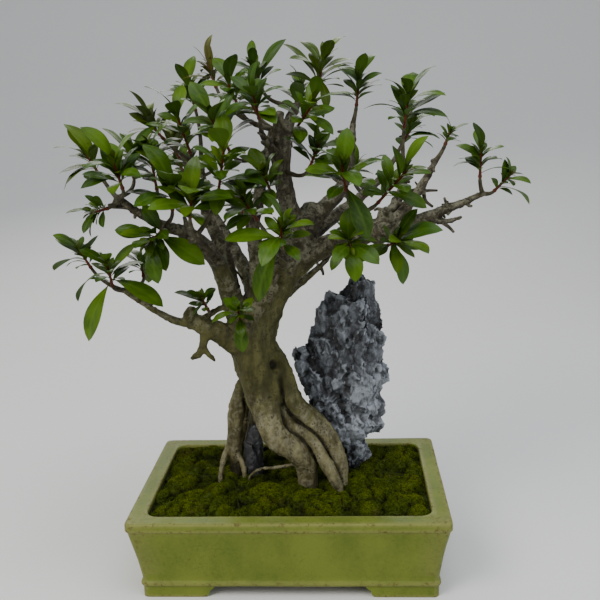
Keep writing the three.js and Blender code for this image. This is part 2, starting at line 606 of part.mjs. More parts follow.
const ROCK_SEED = 40;
const WEDGE_SEED = 900;
const rock = largestBody(
  makeStone(ROCK_LEVELS, ROCK_POINTS, ROCK_ROUGHNESS, ROCK_SEED).subtract(rootRoom),
);
const wedge = largestBody(
  makeStone(WEDGE_LEVELS, WEDGE_POINTS, ROCK_ROUGHNESS, WEDGE_SEED).subtract(rootRoom),
);
const stoneRoom = makeStone(grown(ROCK_LEVELS), ROCK_POINTS, ROCK_ROUGHNESS, ROCK_SEED).add(
  makeStone(grown(WEDGE_LEVELS), WEDGE_POINTS, ROCK_ROUGHNESS, WEDGE_SEED),
);
const plantingRoom = rootRoom.add(stoneRoom);

// ---------------------------------------------------------------- soil and moss

const inner = { x: half.x - RIM_WIDTH - CLEARANCE, y: half.y - RIM_WIDTH - CLEARANCE };
const innerR = INNER_CORNER_R - CLEARANCE;
const soilEdge = -SOIL_EDGE_DROP;

// The mound: rings that shrink towards the middle as they rise, from the planting point.
const MOUND_SHARES = [0, 0.16, 0.4, 0.68]; // of the way in from the wall
const moundRings = (lift) =>
  MOUND_SHARES.map((share) => {
    const shrink = share * inner.y;
    const rise = SOIL_CROWN * Math.sin((share / MOUND_SHARES.at(-1)) * (Math.PI / 2));
    const radius = Math.max(innerR - shrink, 3);
    return roundedRectangle(inner.x - shrink, inner.y - shrink, radius, soilEdge + rise + lift);
  });

const soilBottom = floorTop + CLEARANCE - POT_HEIGHT;

function makeSoil() {
  const body = loft([roundedRectangle(inner.x, inner.y, innerR, soilBottom), ...moundRings(0)]);
  const pocketTop = screenTop + 2 * CLIP_WIRE_R + 3 * CLEARANCE - POT_HEIGHT;
  const pockets = drainCentres.map((x) => {
    const size = SCREEN_SIZE + 2 * CLEARANCE;
    const height = pocketTop - soilBottom + 1;
    return box(size, size, height, x, 0, pocketTop - height / 2);
  });
  return pockets.reduce((soil, pocket) => soil.subtract(pocket), body.subtract(plantingRoom));
}

// A thin cut along a seam between moss mats, wavering a little.
function seamCut(at, lengthways, seed) {
  const reach = lengthways ? inner.x : inner.y;
  const spread = lengthways ? inner.y : inner.x;
  const points = [-1, -0.5, 0, 0.5, 1].map((t, i) => {
    const waver = (chance(seed + i) - 0.5) * 0.16 * spread;
    return [t * (reach + 5), at + waver];
  });
  const outline = [
    ...points.map(([u, v]) => [u, v - MOSS_SEAM / 2]),
    ...points.reverse().map(([u, v]) => [u, v + MOSS_SEAM / 2]),
  ];
  const shape = new THREE.Shape(
    outline.map(([u, v]) => (lengthways ? new THREE.Vector2(u, v) : new THREE.Vector2(-v, u))),
  );
  const depth = 60;
  return prism(shape, depth).translate([0, 0, -depth / 2]);
}

function makeMossMats() {
  const under = moundRings(CLEARANCE);
  const over = moundRings(MOSS_THICKNESS);
  const slab = loft([roundedRectangle(inner.x, inner.y, innerR, soilEdge - 1), ...over]);
  const base = loft([roundedRectangle(inner.x + 1, inner.y + 1, innerR, soilEdge - 3), ...under]);
  let blanket = slab.subtract(base).subtract(plantingRoom);
  for (let n = 1; n < MOSS_ROWS; n++) {
    blanket = blanket.subtract(seamCut((2 * n / MOSS_ROWS - 1) * inner.y, true, 70 + 9 * n));
  }
  for (let n = 1; n < MOSS_COLUMNS; n++) {
    blanket = blanket.subtract(seamCut((2 * n / MOSS_COLUMNS - 1) * inner.x, false, 20 + 9 * n));
  }
  const mats = blanket.decompose().sort((a, b) => b.volume() - a.volume());
  return mats.slice(0, MOSS_ROWS * MOSS_COLUMNS);
}

const soil = largestBody(makeSoil());
const mossMats = makeMossMats();

// ---------------------------------------------------------------- leafy shoots

const GOLDEN_ANGLE = Math.PI * (3 - Math.sqrt(5));
const SHOOT_LEAD = 5; // bare stem before the first leaf
const LEAF_STEP = 2.2; // along the stem from one leaf to the next
const LONG_STEP = 3.6; // the same on a long, vigorous shoot
const LIGHT = new THREE.Vector3(0, -0.25, 0.8); // leaves turn their upper faces this way
const BLADE_START = 0.25; // leaves of one shoot may only touch nearer the stem than this share
// A leaf that would cross something is tried again turned, lifted or shorter, as listed here.
const TRIES = [
  { turn: 0, lift: 0, share: 1 },
  { turn: 0.5, lift: 0.1, share: 1 },
  { turn: -0.5, lift: 0.1, share: 1 },
  { turn: 0, lift: 0.45, share: 0.9 },
  { turn: 0.9, lift: -0.3, share: 0.8 },
  { turn: -0.9, lift: 0.3, share: 0.7 },
];

// Two directions square to an axis.
function crossAxes(axis) {
  const helper = Math.abs(axis.z) < 0.9 ? new THREE.Vector3(0, 0, 1) : new THREE.Vector3(1, 0, 0);
  const first = new THREE.Vector3().crossVectors(helper, axis).normalize();
  return [first, new THREE.Vector3().crossVectors(axis, first)];
}

const leafStep = (shoot) => (shoot.long ? LONG_STEP : LEAF_STEP);

// Where leaf i of a shoot grows from, and the straight line from there to its tip.
function leafChord(shoot, number, i, attempt) {
  const axis = vector(shoot.aim).normalize();
  const base = vector(shoot.at).addScaledVector(axis, SHOOT_LEAD + leafStep(shoot) * i);
  const seed = number * 100 + i * 7;
  const placed = shoot.ends[i];
  if (placed) {
    const chord = vector(shoot.at).add(vector(placed)).sub(base).multiplyScalar(attempt.share);
    return { base, chord: chord.applyAxisAngle(axis, attempt.turn * 0.4), seed };
  }
  const grownAlone = i - shoot.ends.length;
  const share = shoot.leaves > 1 ? grownAlone / (shoot.leaves - 1) : 1;
  const [first, second] = crossAxes(axis);
  const around = number + i * GOLDEN_ANGLE + attempt.turn;
  const spread = 1.35 - 0.85 * share + 0.25 * (chance(seed) - 0.5) - attempt.lift;
  const length = LEAF_LENGTH * shoot.size * (0.8 + 0.35 * chance(seed + 1)) * attempt.share;
  const chord = axis
    .clone()
    .multiplyScalar(Math.cos(spread))
    .addScaledVector(first, Math.cos(around) * Math.sin(spread))
    .addScaledVector(second, Math.sin(around) * Math.sin(spread));
  chord.z -= 0.12;
  return { base, chord: chord.normalize().multiplyScalar(length), seed };
}

// A leaf blade: a folded, arching lozenge, closed to a point at its stalk and at its tip.
function makeLeaf({ base, chord, seed }, axis) {
  const length = chord.length();
  const along = chord.clone().normalize();
  const up = axis.clone().multiplyScalar(0.35).add(LIGHT);
  const roll = 0.6 * (chance(seed + 2) - 0.5);
  const normal = up.addScaledVector(along, -up.dot(along)).normalize().applyAxisAngle(along, roll);
  const across = new THREE.Vector3().crossVectors(along, normal);
  const arch = (0.07 + 0.08 * chance(seed + 3)) * length;
  const width = length * LEAF_WIDTH_SHARE * (0.85 + 0.3 * chance(seed + 4));
  const fold = 0.1;
  const spine = (t) =>
    base.clone().addScaledVector(chord, t).addScaledVector(normal, 4 * arch * t * (1 - t));
  const section = (t, halfWidth) => {
    const middle = spine(t);
    const side = (sign) =>
      middle
        .clone()
        .addScaledVector(across, sign * halfWidth)
        .addScaledVector(normal, fold * halfWidth);
    const keel = middle.clone().addScaledVector(normal, -LEAF_THICKNESS / 2);
    return [side(1), keel, side(-1)];
  };
  const points = [
    spine(0),
    ...section(0.4, 0.42 * width),
    ...section(0.74, 0.47 * width),
    spine(1),
  ];
  const index = [];
  for (let i = 0; i < 3; i++) {
    const next = (i + 1) % 3;
    index.push(0, 1 + next, 1 + i, 7, 4 + i, 4 + next);
    index.push(1 + i, 1 + next, 4 + i, 1 + next, 4 + next, 4 + i);
  }
  const solid = toSolid(new THREE.BufferGeometry().setFromPoints(points).setIndex(index));
  const blade = solid.trimByPlane(along.toArray(), along.dot(spine(BLADE_START)));
  return { solid, blade };
}

const boxesTouch = (a, b) =>
  a.min.every((low, i) => low <= b.max[i]) && b.min.every((low, i) => low <= a.max[i]);

const crosses = (solid, others) => {
  const bounds = solid.boundingBox();
  return others.some(
    (other) => boxesTouch(bounds, other.bounds) && solid.intersect(other.solid).volume() > 0,
  );
};

const withBounds = (solid) => ({ solid, bounds: solid.boundingBox() });

// The bare stem of a shoot, standing clear of its twig.
function makeStem(shoot) {
  const axis = vector(shoot.aim).normalize();
  const reach = SHOOT_LEAD + leafStep(shoot) * (shoot.ends.length + shoot.leaves - 1) + 1.5;
  const stations = [BUD_GAP, reach].map((d, i) => {
    const p = vector(shoot.at).addScaledVector(axis, d);
    return [p.x, p.y, p.z, i ? SHOOT_TIP_R : TWIG_TIP_R];
  });
  return taperedTube(stations, { sides: TWIG_SIDES, girth: 1 });
}

// Grows every shoot in turn. A leaf is kept at the first try that crosses nothing already there.
function growShoots() {
  const stems = SHOOTS.map(makeStem);
  const taken = [wood, rock, ...stems].map(withBounds);
  return SHOOTS.map((shoot, number) => {
    const axis = vector(shoot.aim).normalize();
    const kept = [];
    const blades = [];
    const others = taken.filter(({ solid }) => solid !== stems[number]);
    for (let i = 0; i < shoot.ends.length + shoot.leaves; i++) {
      const leaf = TRIES.map((attempt) => makeLeaf(leafChord(shoot, number, i, attempt), axis)).find(
        ({ solid, blade }) => !crosses(solid, others) && !crosses(blade, blades),
      );
      if (leaf) {
        kept.push(leaf.solid);
        blades.push(withBounds(leaf.blade));
      }
    }
    taken.push(...kept.map(withBounds));
    return union([stems[number], ...kept]).simplify(SMALLEST_DETAIL / 2);
  });
}

const shoots = growShoots();

// ---------------------------------------------------------------- assembly

const bonsai = new THREE.Group();
const planted = new THREE.Group();
planted.position.z = POT_HEIGHT;
bonsai.add(planted);

function place(parent, name, solid, look) {
  const mesh = new THREE.Mesh(toGeometry(solid), look);
  mesh.name = name;
  parent.add(mesh);
}

const numbered = (name, i) => `${name}_${String(i + 1).padStart(2, "0")}`;

place(bonsai, "pot", pot, GLAZE);
screens.forEach((solid, i) => place(bonsai, numbered("drain_screen", i), solid, SCREEN));
clips.forEach((solid, i) => place(bonsai, numbered("screen_clip", i), solid, WIRE));
place(planted, "soil", soil, SOIL);
mossMats.forEach((solid, i) => place(planted, numbered("moss_mat", i), solid, MOSS));
place(planted, "standing_rock", rock, ROCK);
place(planted, "wedge_stone", wedge, ROCK);
place(planted, "tree_wood", wood, BARK);
shoots.forEach((solid, i) => place(planted, numbered("leaf_shoot", i), solid, LEAF));

export default bonsai;
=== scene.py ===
"""Looks for a root-over-rock bonsai in a rectangular glazed pot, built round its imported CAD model.

Lengths are written in millimetres, as the object is described, and turned into metres where a
mesh is made. The tree, its stones and its moss are written from the planting point: the middle
of the pot, level with the top of its rim. -Y is the front.
"""

import math  # noqa: E402
from collections import namedtuple  # noqa: E402

import bpy  # noqa: E402
import numpy as np  # noqa: E402
from mathutils import Matrix, Vector, kdtree, noise  # noqa: E402


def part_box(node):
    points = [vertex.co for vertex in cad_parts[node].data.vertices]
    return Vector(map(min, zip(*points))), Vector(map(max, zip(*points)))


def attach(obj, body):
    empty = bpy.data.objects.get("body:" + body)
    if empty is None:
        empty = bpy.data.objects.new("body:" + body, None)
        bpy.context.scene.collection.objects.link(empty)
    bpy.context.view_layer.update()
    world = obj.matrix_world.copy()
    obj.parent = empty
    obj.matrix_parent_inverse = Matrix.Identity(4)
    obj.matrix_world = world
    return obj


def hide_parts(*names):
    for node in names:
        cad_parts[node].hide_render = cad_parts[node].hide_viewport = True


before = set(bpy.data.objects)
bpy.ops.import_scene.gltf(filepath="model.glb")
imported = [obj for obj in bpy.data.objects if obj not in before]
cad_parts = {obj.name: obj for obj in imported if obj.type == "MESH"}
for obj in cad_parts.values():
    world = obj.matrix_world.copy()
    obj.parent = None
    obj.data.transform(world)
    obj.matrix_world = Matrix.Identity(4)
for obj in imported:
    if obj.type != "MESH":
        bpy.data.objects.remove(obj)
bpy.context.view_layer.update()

MM = 0.001
RNG = np.random.default_rng(7)

# ---------------------------------------------------------------- sizes shared with the CAD

HALF_X, HALF_Y, POT_HEIGHT = np.array(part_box("pot")[1]) / MM
RIM_WIDTH = 15
RIM_EDGE_R = 2
LIP_HEIGHT = 8
LIP_PROUD = 1.2
WALL_TAPER = 8.3
MOULDING_HEIGHT = 5
MOULDING_PROUD = 1.6
FLOOR_TOP = 18
OUTER_CORNER_R = 5
INNER_CORNER_R = 11
FOOT_HEIGHT = 10
FOOT_WIDTH = 13
FOOT_LENGTH = 56
FOOT_SIDE_LENGTH = 42
FOOT_SET_BACK = 1.5
DRAIN_HOLE_R = 10
DRAIN_X = 62
WIRE_R = 0.8

BARK_VOXEL = 0.95
MOSS_VOXEL = 1.3
SOIL_VOXEL = 2.2
KNOT_HOLE = np.array([-11, -20.5, 112])
SPUR_COUNT = 150
TWIG_ROOT_R = 2.1
TWIG_TIP_R = 1.25
SHOOT_TIP_R = 0.8
BUD_GAP = 0.8
LEAF_LENGTH = 32
LEAF_WIDTH_SHARE = 0.43
SHOOT_LEAD = 5
LEAF_STEP = 2.2
LONG_STEP = 3.6
GOLDEN_ANGLE = math.pi * (3 - math.sqrt(5))
LIGHT = np.array([0, -0.25, 0.8])

# Roots and limbs of the living wood, from the planting point: x, y, z and radius at each station.
WOOD = {
    "trunk": [
        [-20, -4, 54, 11], [-19, -6, 76, 19.5], [-21, -7, 94, 21.5], [-27, -7, 112, 20.5],
        [-30, -6, 128, 19.5], [-27, -4, 144, 19], [-19, -2, 164, 17.5], [-8, 0, 180, 16],
        [3, 2, 196, 15], [11, 4, 210, 13.5], [18, 6, 226, 11], [24, 8, 240, 8.5],
    ],
    "front_root": [
        [-21, -6, 110, 10], [-20, -14, 92, 12], [-18, -18, 76, 12], [-17, -22, 64, 12],
        [-14, -25, 54, 11.5], [-7, -27, 46, 11.5], [3, -27, 39, 11], [10, -25, 30, 10.5],
        [14, -23, 20, 9.5], [15, -21, 6, 9], [15, -20, -10, 7],
    ],
    "right_root": [
        [-18, -6, 122, 10], [-8, -10, 106, 9.5], [-3, -13, 94, 9], [1, -14, 83, 8.5],
        [7, -15, 72, 8.5], [17, -15, 62, 9], [27, -15, 51, 9], [34, -16, 41, 8.5], [39, -17, 31, 7.5],
        [43, -19, 20, 6.5], [44, -21, 8, 5.5], [46, -22, -8, 4.5],
    ],
    "middle_root": [
        [-12, -10, 86, 5], [-7, -14, 76, 5.5], [-4, -16, 66, 6], [1, -19, 58, 6], [8, -21, 53, 6],
        [17, -23, 46, 6], [24, -25, 38, 6], [29, -27, 28, 5.5], [35, -29, 18, 5.5], [40, -31, 8, 4.5],
        [44, -31, -8, 3.5],
    ],
    "left_root": [
        [-32, -6, 108, 9], [-37, -5, 94, 7.5], [-41, -4, 84, 7], [-45, -4, 72, 7.5],
        [-48, -3, 58, 7.5], [-50, -1, 42, 7], [-51, 1, 26, 6.5], [-50, 3, 10, 6], [-49, 4, -8, 5],
    ],
    "left_rootlet": [
        [-55, -1, 32, 3.5], [-60, -4, 21, 2.8], [-63, -8, 8, 2.2], [-64, -10, -6, 1.8],
    ],
    "inner_rootlet": [
        [-50, 0, 26, 3.2], [-44, -6, 17, 2.6], [-42, -10, 8, 2.2], [-41, -12, -6, 1.8],
    ],
    "arching_rootlet": [
        [-40, -13, -4, 1.5], [-36, -14, 8, 1.7], [-27, -16, 15, 1.9], [-14, -20, 18, 2],
        [4, -22, 22, 2],
    ],
    "inner_root": [
        [-24, 4, 80, 10], [-30, 10, 60, 8], [-34, 14, 40, 7], [-38, 15, 20, 6.5], [-40, 15, -8, 5],
    ],
    "back_left_root": [
        [-30, 6, 92, 12], [-38, 18, 72, 10], [-44, 30, 50, 9], [-48, 40, 30, 8], [-52, 48, 10, 7],
        [-54, 52, -8, 5],
    ],
    "back_middle_root": [
        [-16, 6, 90, 12], [-14, 20, 72, 10], [-10, 32, 52, 8.5], [-8, 42, 32, 7.5], [-8, 52, 12, 6.5],
        [-9, 58, -8, 4.5],
    ],
    "left_limb": [
        [-30, -8, 120, 12], [-38, -12, 142, 10.5], [-44, -16, 166, 9], [-50, -18, 188, 7.5],
        [-57, -21, 205, 6.8], [-67, -25, 219, 6.2], [-80, -29, 228, 5.2], [-95, -34, 234, 4.2],
        [-107, -39, 242, 3.6], [-118, -42, 250, 2.9], [-127, -44, 258, 2.2],
    ],
    "left_back_limb": [
        [-36, -2, 128, 9], [-44, 0, 164, 7], [-51, 5, 198, 6], [-59, 8, 220, 5.2], [-67, 11, 236, 4.2],
        [-67, 15, 256, 3.2], [-70, 18, 276, 2.4],
    ],
    "low_left_limb": [
        [-34, -9, 124, 13], [-46, -15, 134, 11], [-57, -22, 142, 9], [-67, -27, 148, 7.5],
        [-76, -30, 154, 6], [-84, -32, 153, 3.8], [-99, -34, 160, 2.8], [-116, -34, 171, 2.4],
        [-131, -32, 181, 2],
    ],
    "low_left_knob": [
        [-76, -29, 149, 5], [-77, -30, 157, 6.5], [-76, -30, 164, 4],
    ],
    "hanging_stub": [
        [-66, -26, 144, 4.5], [-69, -27, 132, 3.6], [-72, -28, 125, 3], [-79, -29, 121, 1.8],
    ],
    "hanging_spur": [
        [-69, -27, 131, 3], [-65, -27, 124, 2.2], [-60, -26, 118, 1.3],
    ],
    "cross_twig": [
        [-72, -28, 152, 3.4], [-62, -27, 158, 2.6], [-52, -24, 163, 2.4], [-44, -18, 162, 2.6],
    ],
    "middle_limb": [
        [-22, -8, 160, 10], [-22, -14, 186, 7], [-22, -17, 206, 6.2], [-24, -19, 230, 5.6],
        [-19, -18, 248, 4.8], [-15, -16, 268, 4.2], [-10, -12, 290, 3.2], [-7, -8, 306, 2.4],
    ],
    "apex_limb": [
        [10, 4, 206, 12], [8, 2, 226, 9.5], [3, 0, 250, 7.6], [0, -2, 274, 7], [2, 0, 296, 6],
        [7, 2, 312, 4.4], [14, 3, 324, 2.8],
    ],
    "apex_stub": [
        [0, -2, 276, 5.5], [-2, -5, 300, 4.8], [0, -7, 318, 3.6],
    ],
    "right_limb": [
        [8, 3, 192, 11], [28, -3, 206, 9], [50, -8, 215, 8.4], [70, -9, 221, 9], [88, -6, 225, 8],
        [104, -1, 227, 5.4], [122, 4, 232, 4.4], [140, 8, 238, 3.8], [154, 10, 243, 3],
        [165, 11, 248, 2.2],
    ],
    "right_knob": [
        [76, -10, 214, 6], [84, -9, 226, 9.5], [83, -8, 238, 5],
    ],
    "right_cut_spur": [
        [118, 3, 230, 3.4], [134, 6, 226, 2.4], [148, 9, 229, 1.4],
    ],
    "right_upper_limb": [
        [86, -6, 226, 5.4], [98, -8, 237, 4.3], [108, -10, 250, 3.7], [117, -12, 265, 3.1],
        [124, -13, 278, 2.4],
    ],
    "right_dark_limb": [
        [80, -2, 226, 5.5], [92, 4, 240, 4.5], [98, 8, 252, 3.6], [101, 10, 264, 2.6],
    ],
    "dead_twig": [
        [97, 7, 249, 2.6], [108, 8, 247, 2], [118, 8, 253, 1.2],
    ],
    "centre_right_limb": [
        [16, 6, 222, 9], [32, 9, 238, 7.4], [46, 12, 252, 6], [54, 14, 272, 4.6], [57, 15, 292, 3.6],
        [59, 16, 308, 2.6],
    ],
    "centre_stub": [
        [55, 14, 274, 2.8], [48, 12, 288, 2], [45, 11, 296, 1.3],
    ],
    "low_right_limb": [
        [0, 8, 168, 5], [12, 20, 174, 3.4], [24, 30, 182, 2.8], [34, 36, 190, 2.2],
    ],
    "back_left_limb": [
        [-22, 4, 150, 10], [-32, 24, 172, 7.5], [-46, 44, 194, 6], [-60, 58, 216, 4.6],
        [-74, 68, 238, 3.2], [-84, 74, 254, 2.2],
    ],
    "back_right_limb": [
        [8, 8, 200, 9], [24, 30, 216, 7], [46, 46, 230, 5.4], [68, 60, 244, 4.2], [88, 70, 262, 3],
        [98, 76, 276, 2],
    ],
    "back_top_limb": [
        [6, 4, 228, 7], [2, 26, 252, 5.6], [0, 42, 276, 4.4], [4, 54, 298, 3.2],
    ],
    "front_limb": [
        [-4, -8, 184, 8], [-2, -30, 196, 5.4], [2, -50, 206, 4], [3, -64, 212, 2.6],
    ],
    "front_right_limb": [
        [40, -10, 212, 6], [50, -30, 222, 4.6], [56, -46, 232, 3.4], [60, -58, 242, 2.4],
    ],
    "front_left_limb": [
        [-50, -20, 196, 5], [-54, -38, 208, 3.8], [-60, -52, 220, 3], [-64, -58, 228, 2.2],
    ],
    "front_top_limb": [
        [-1, -4, 280, 4.6], [-6, -24, 292, 3.4], [-12, -38, 304, 2.4],
    ],
}

# A leafy shoot: the limb its twig leaves, where it starts, which way it points, how many leaves it
# grows by itself, their size, the ends of leaves placed one by one, the spacing of all of them, and
# how young, narrow and red they are.
Shoot = namedtuple("Shoot", "limb at aim leaves size ends step young", defaults=((), LEAF_STEP, 0))

SHOOTS = [
    # low branch at the far left
    Shoot("low_left_limb", [-160, -20, 198], [-5, 1, 8], 3, 0.7,
          [[-32, 14, 24], [-38, 18, -5], [10, -6, 28]]),
    Shoot("low_left_limb", [-138, -38, 186], [0, -3, 6], 3, 0.85,
          [[-20, -14, -42], [44, -16, -14], [22, 2, 34], [28, -4, 20], [-32, 4, -12]]),
    Shoot("low_left_limb", [-116, -22, 190], [-2, 5, 6], 5, 0.8),
    Shoot("cross_twig", [-62, -34, 164], [-2, -3, 6], 2, 0.6, [[-24, -12, 18], [-12, -4, -4]]),
    # left limb
    Shoot("left_limb", [-144, -26, 274], [-5, 1, 8], 4, 0.9,
          [[-26, 4, 42], [-36, 8, 2], [-32, 2, -10], [-4, -10, 34]], young=0.15),
    Shoot("left_limb", [-118, -58, 266], [-1, -4, 8], 6, 1.05, [[-12, -6, 34], [14, -4, 32]]),
    Shoot("left_limb", [-118, -21, 271], [-1, 3, 8], 7, 0.9, [[-8, 0, 36]]),
    Shoot("left_limb", [-134, -46, 250], [-8, -2, -2], 3, 0.7, [[-16, 0, -22]]),
    Shoot("left_limb", [-92, -48, 232], [-3, -6, -3], 3, 0.95,
          [[4, -14, -30], [34, -10, -26], [-36, -6, 2]]),
    Shoot("left_limb", [-82, -52, 248], [1, -4, 8], 4, 1.25,
          [[-8, -6, 42], [16, -8, 38], [4, -10, 46]]),
    Shoot("left_limb", [-98, -30, 262], [-1, 0, 8], 9, 0.95, step=LONG_STEP),
    Shoot("left_back_limb", [-74, -4, 288], [-2, -2, 8], 9, 0.9, step=LONG_STEP),
    Shoot("left_back_limb", [-98, 8, 300], [-6, 0, 7], 6, 1, [[-28, 2, 22]], young=0.25),
    Shoot("left_back_limb", [-72, 20, 322], [-2, 1, 8], 6, 1, [[-18, 0, 22]]),
    Shoot("left_back_limb", [-92, 40, 282], [-5, 5, 6], 7, 1, young=0.4),
    # front left
    Shoot("front_left_limb", [-66, -66, 244], [2, -5, 7], 5, 1.15, [[-16, -6, 24], [14, -6, 30]]),
    Shoot("front_left_limb", [-44, -62, 262], [2, -4, 8], 9, 1, step=LONG_STEP),
    Shoot("middle_limb", [-36, -42, 290], [-3, -4, 7], 9, 1, step=LONG_STEP),
    Shoot("middle_limb", [-30, -20, 322], [-3, -2, 8], 7, 0.9, [[-26, -6, 12]]),
    Shoot("middle_limb", [-52, 8, 340], [-3, 2, 8], 4, 0.85,
          [[-6, 2, 38], [-28, 0, 8], [-16, 4, 22]], young=0.6),
    # crown
    Shoot("apex_limb", [-13, -7, 337], [-3, -1, 8], 5, 0.85, [[-12, 0, 26], [20, 0, 38]]),
    Shoot("apex_limb", [30, 4, 334], [2, 0, 8], 5, 1.15,
          [[-26, -4, 38], [38, -4, 14], [30, 2, 22], [8, -6, -14]], young=0.2),
    Shoot("front_top_limb", [-12, -50, 315], [-1, -5, 7], 8, 0.95),
    Shoot("apex_stub", [14, -32, 306], [4, -5, 5], 8, 0.95, step=LONG_STEP),
    Shoot("apex_limb", [-6, -40, 258], [-2, -5, 7], 8, 0.8),
    Shoot("apex_limb", [24, -28, 276], [3, -4, 7], 8, 0.8),
    Shoot("back_top_limb", [-24, 50, 318], [-4, 4, 7], 7, 1),
    Shoot("back_top_limb", [10, 62, 320], [2, 5, 7], 8, 1),
    # front
    Shoot("front_limb", [4, -74, 222], [0, -5, 6], 3, 1,
          [[-18, -14, -40], [-42, -12, 8], [8, -12, 30]]),
    Shoot("front_limb", [-16, -60, 240], [-3, -4, 6], 8, 0.9),
    Shoot("trunk", [-34, -48, 160], [0, -5, 4], 2, 0.8, [[2, -10, -26], [-12, -4, 18]]),
    Shoot("front_right_limb", [52, -70, 262], [-1, -5, 7], 4, 1.1,
          [[16, -8, -36], [-30, -4, 12], [-4, -8, 34], [28, -4, 22]]),
    Shoot("front_right_limb", [76, -54, 250], [5, -4, 6], 9, 0.9, step=LONG_STEP),
    Shoot("front_right_limb", [54, -62, 222], [0, -6, 0], 7, 0.85),
    Shoot("low_right_limb", [38, 30, 196], [3, -3, 4], 7, 0.7),
    # right
    Shoot("right_limb", [84, -36, 214], [3, -6, 2], 4, 0.95,
          [[40, -24, 16], [-26, -10, -12], [12, -8, -30]]),
    Shoot("centre_right_limb", [62, 18, 322], [1, 1, 8], 8, 0.9),
    Shoot("right_dark_limb", [100, 2, 304], [1, -1, 8], 6, 0.95,
          [[-10, 0, 34], [32, -4, 26], [34, -6, 8], [-32, -2, 16]]),
    Shoot("right_upper_limb", [131, -14, 290], [3, 0, 8], 2, 0.55, [[18, -2, 16]]),
    Shoot("right_limb", [162, 6, 262], [0, -1, 8], 5, 0.8,
          [[-8, 0, 26], [12, 0, 28], [-22, 0, 10]]),
    Shoot("right_limb", [174, 8, 250], [4, 0, 4], 3, 0.5,
          [[26, -18, -8], [8, -2, 26], [26, -18, 8], [18, 4, 20]]),
    # back
    Shoot("back_right_limb", [104, 76, 288], [4, 3, 6], 7, 1),
    Shoot("back_right_limb", [60, 76, 258], [1, 6, 4], 7, 1),
    Shoot("back_left_limb", [-92, 78, 262], [-5, 3, 6], 7, 1),
    Shoot("back_left_limb", [-44, 74, 228], [0, 6, 4], 7, 1),
]

# ---------------------------------------------------------------- surface builder


class Surface:
    """A Principled material and the nodes that drive it. Sizes are in millimetres."""

    def __init__(self, name):
        self.material = bpy.data.materials.new(name)
        self.material.use_nodes = True
        self.tree = self.material.node_tree
        self.mm = self.stretched(1, 1, 1)

    def feed(self, target, inputs):
        """Puts values or other nodes' outputs on a node's inputs."""
        for key, value in inputs.items():
            if isinstance(value, bpy.types.NodeSocket):
                self.tree.links.new(value, target.inputs[key])
            else:
                target.inputs[key].default_value = value

    def node(self, kind, inputs, **settings):
        """A shader node with its settings and its inputs."""
        made = self.tree.nodes.new(kind)
        for key, value in settings.items():
            setattr(made, key, value)
        self.feed(made, inputs)
        return made

    def stretched(self, *stretch):
        """The object's own coordinates in millimetres, stretched along each axis."""
        coordinates = self.node("ShaderNodeTexCoord", {}).outputs["Object"]
        inputs = {"Vector": coordinates, "Scale": [share / MM for share in stretch]}
        return self.node("ShaderNodeMapping", inputs).outputs["Vector"]

    def painted(self, name):
        """The red, green and blue channels of a mesh attribute, as three values."""
        colour = self.node("ShaderNodeAttribute", {}, attribute_name=name).outputs["Color"]
        return self.node("ShaderNodeSeparateColor", {"Color": colour}).outputs

    def cloud(self, size, detail=4.0, roughness=0.55, distortion=0.0, where=None):
        """Noise with features of about that size."""
        inputs = {
            "Vector": self.mm if where is None else where,
            "Scale": 1 / size,
            "Detail": detail,
            "Roughness": roughness,
            "Distortion": distortion,
        }
        return self.node("ShaderNodeTexNoise", inputs).outputs["Fac"]

    def cells(self, size, feature="F1"):
        """Distance inside cells of about that size."""
        inputs = {"Vector": self.mm, "Scale": 1 / size}
        return self.node("ShaderNodeTexVoronoi", inputs, feature=feature).outputs["Distance"]

    def steps(self, value, low, high):
        """A smooth 0 to 1 as the value goes from low to high."""
        inputs = {"Value": value, "From Min": low, "From Max": high}
        settings = {"interpolation_type": "SMOOTHSTEP", "clamp": True}
        return self.node("ShaderNodeMapRange", inputs, **settings).outputs["Result"]

    def patches(self, low, high, *cloud, **where):
        """Soft-edged patches of noise: 0 where it is under low, 1 where it is over high."""
        return self.steps(self.cloud(*cloud, **where), low, high)

    def maths(self, operation, first, second):
        return self.node("ShaderNodeMath", {0: first, 1: second}, operation=operation).outputs[0]

    def times(self, first, second):
        return self.maths("MULTIPLY", first, second)

    def plus(self, first, second):
        return self.maths("ADD", first, second)

    def inverse(self, value):
        return self.maths("SUBTRACT", 1.0, value)

    def mix(self, factor, first, second):
        """From the first colour to the second as the factor goes from 0 to 1."""
        inputs = {0: factor, 6: first, 7: second}
        return self.node("ShaderNodeMix", inputs, data_type="RGBA").outputs[2]

    def layer(self, colour, mask, strength, over):
        """A colour with another laid over it where the mask is 1, at that strength."""
        return self.mix(self.times(mask, strength), colour, over)

    def bumps(self, height, depth, strength, under=None):
        """A normal that follows a height, over another normal if there is one."""
        inputs = {"Height": height, "Distance": depth * MM, "Strength": strength}
        if under is not None:
            inputs["Normal"] = under
        return self.node("ShaderNodeBump", inputs).outputs["Normal"]

    def finish(self, inputs):
        """Feeds the shader and hands over the material."""
        self.feed(self.tree.nodes["Principled BSDF"], inputs)
        return self.material


def rgb(red, green, blue):
    return (red, green, blue, 1.0)


# ---------------------------------------------------------------- materials


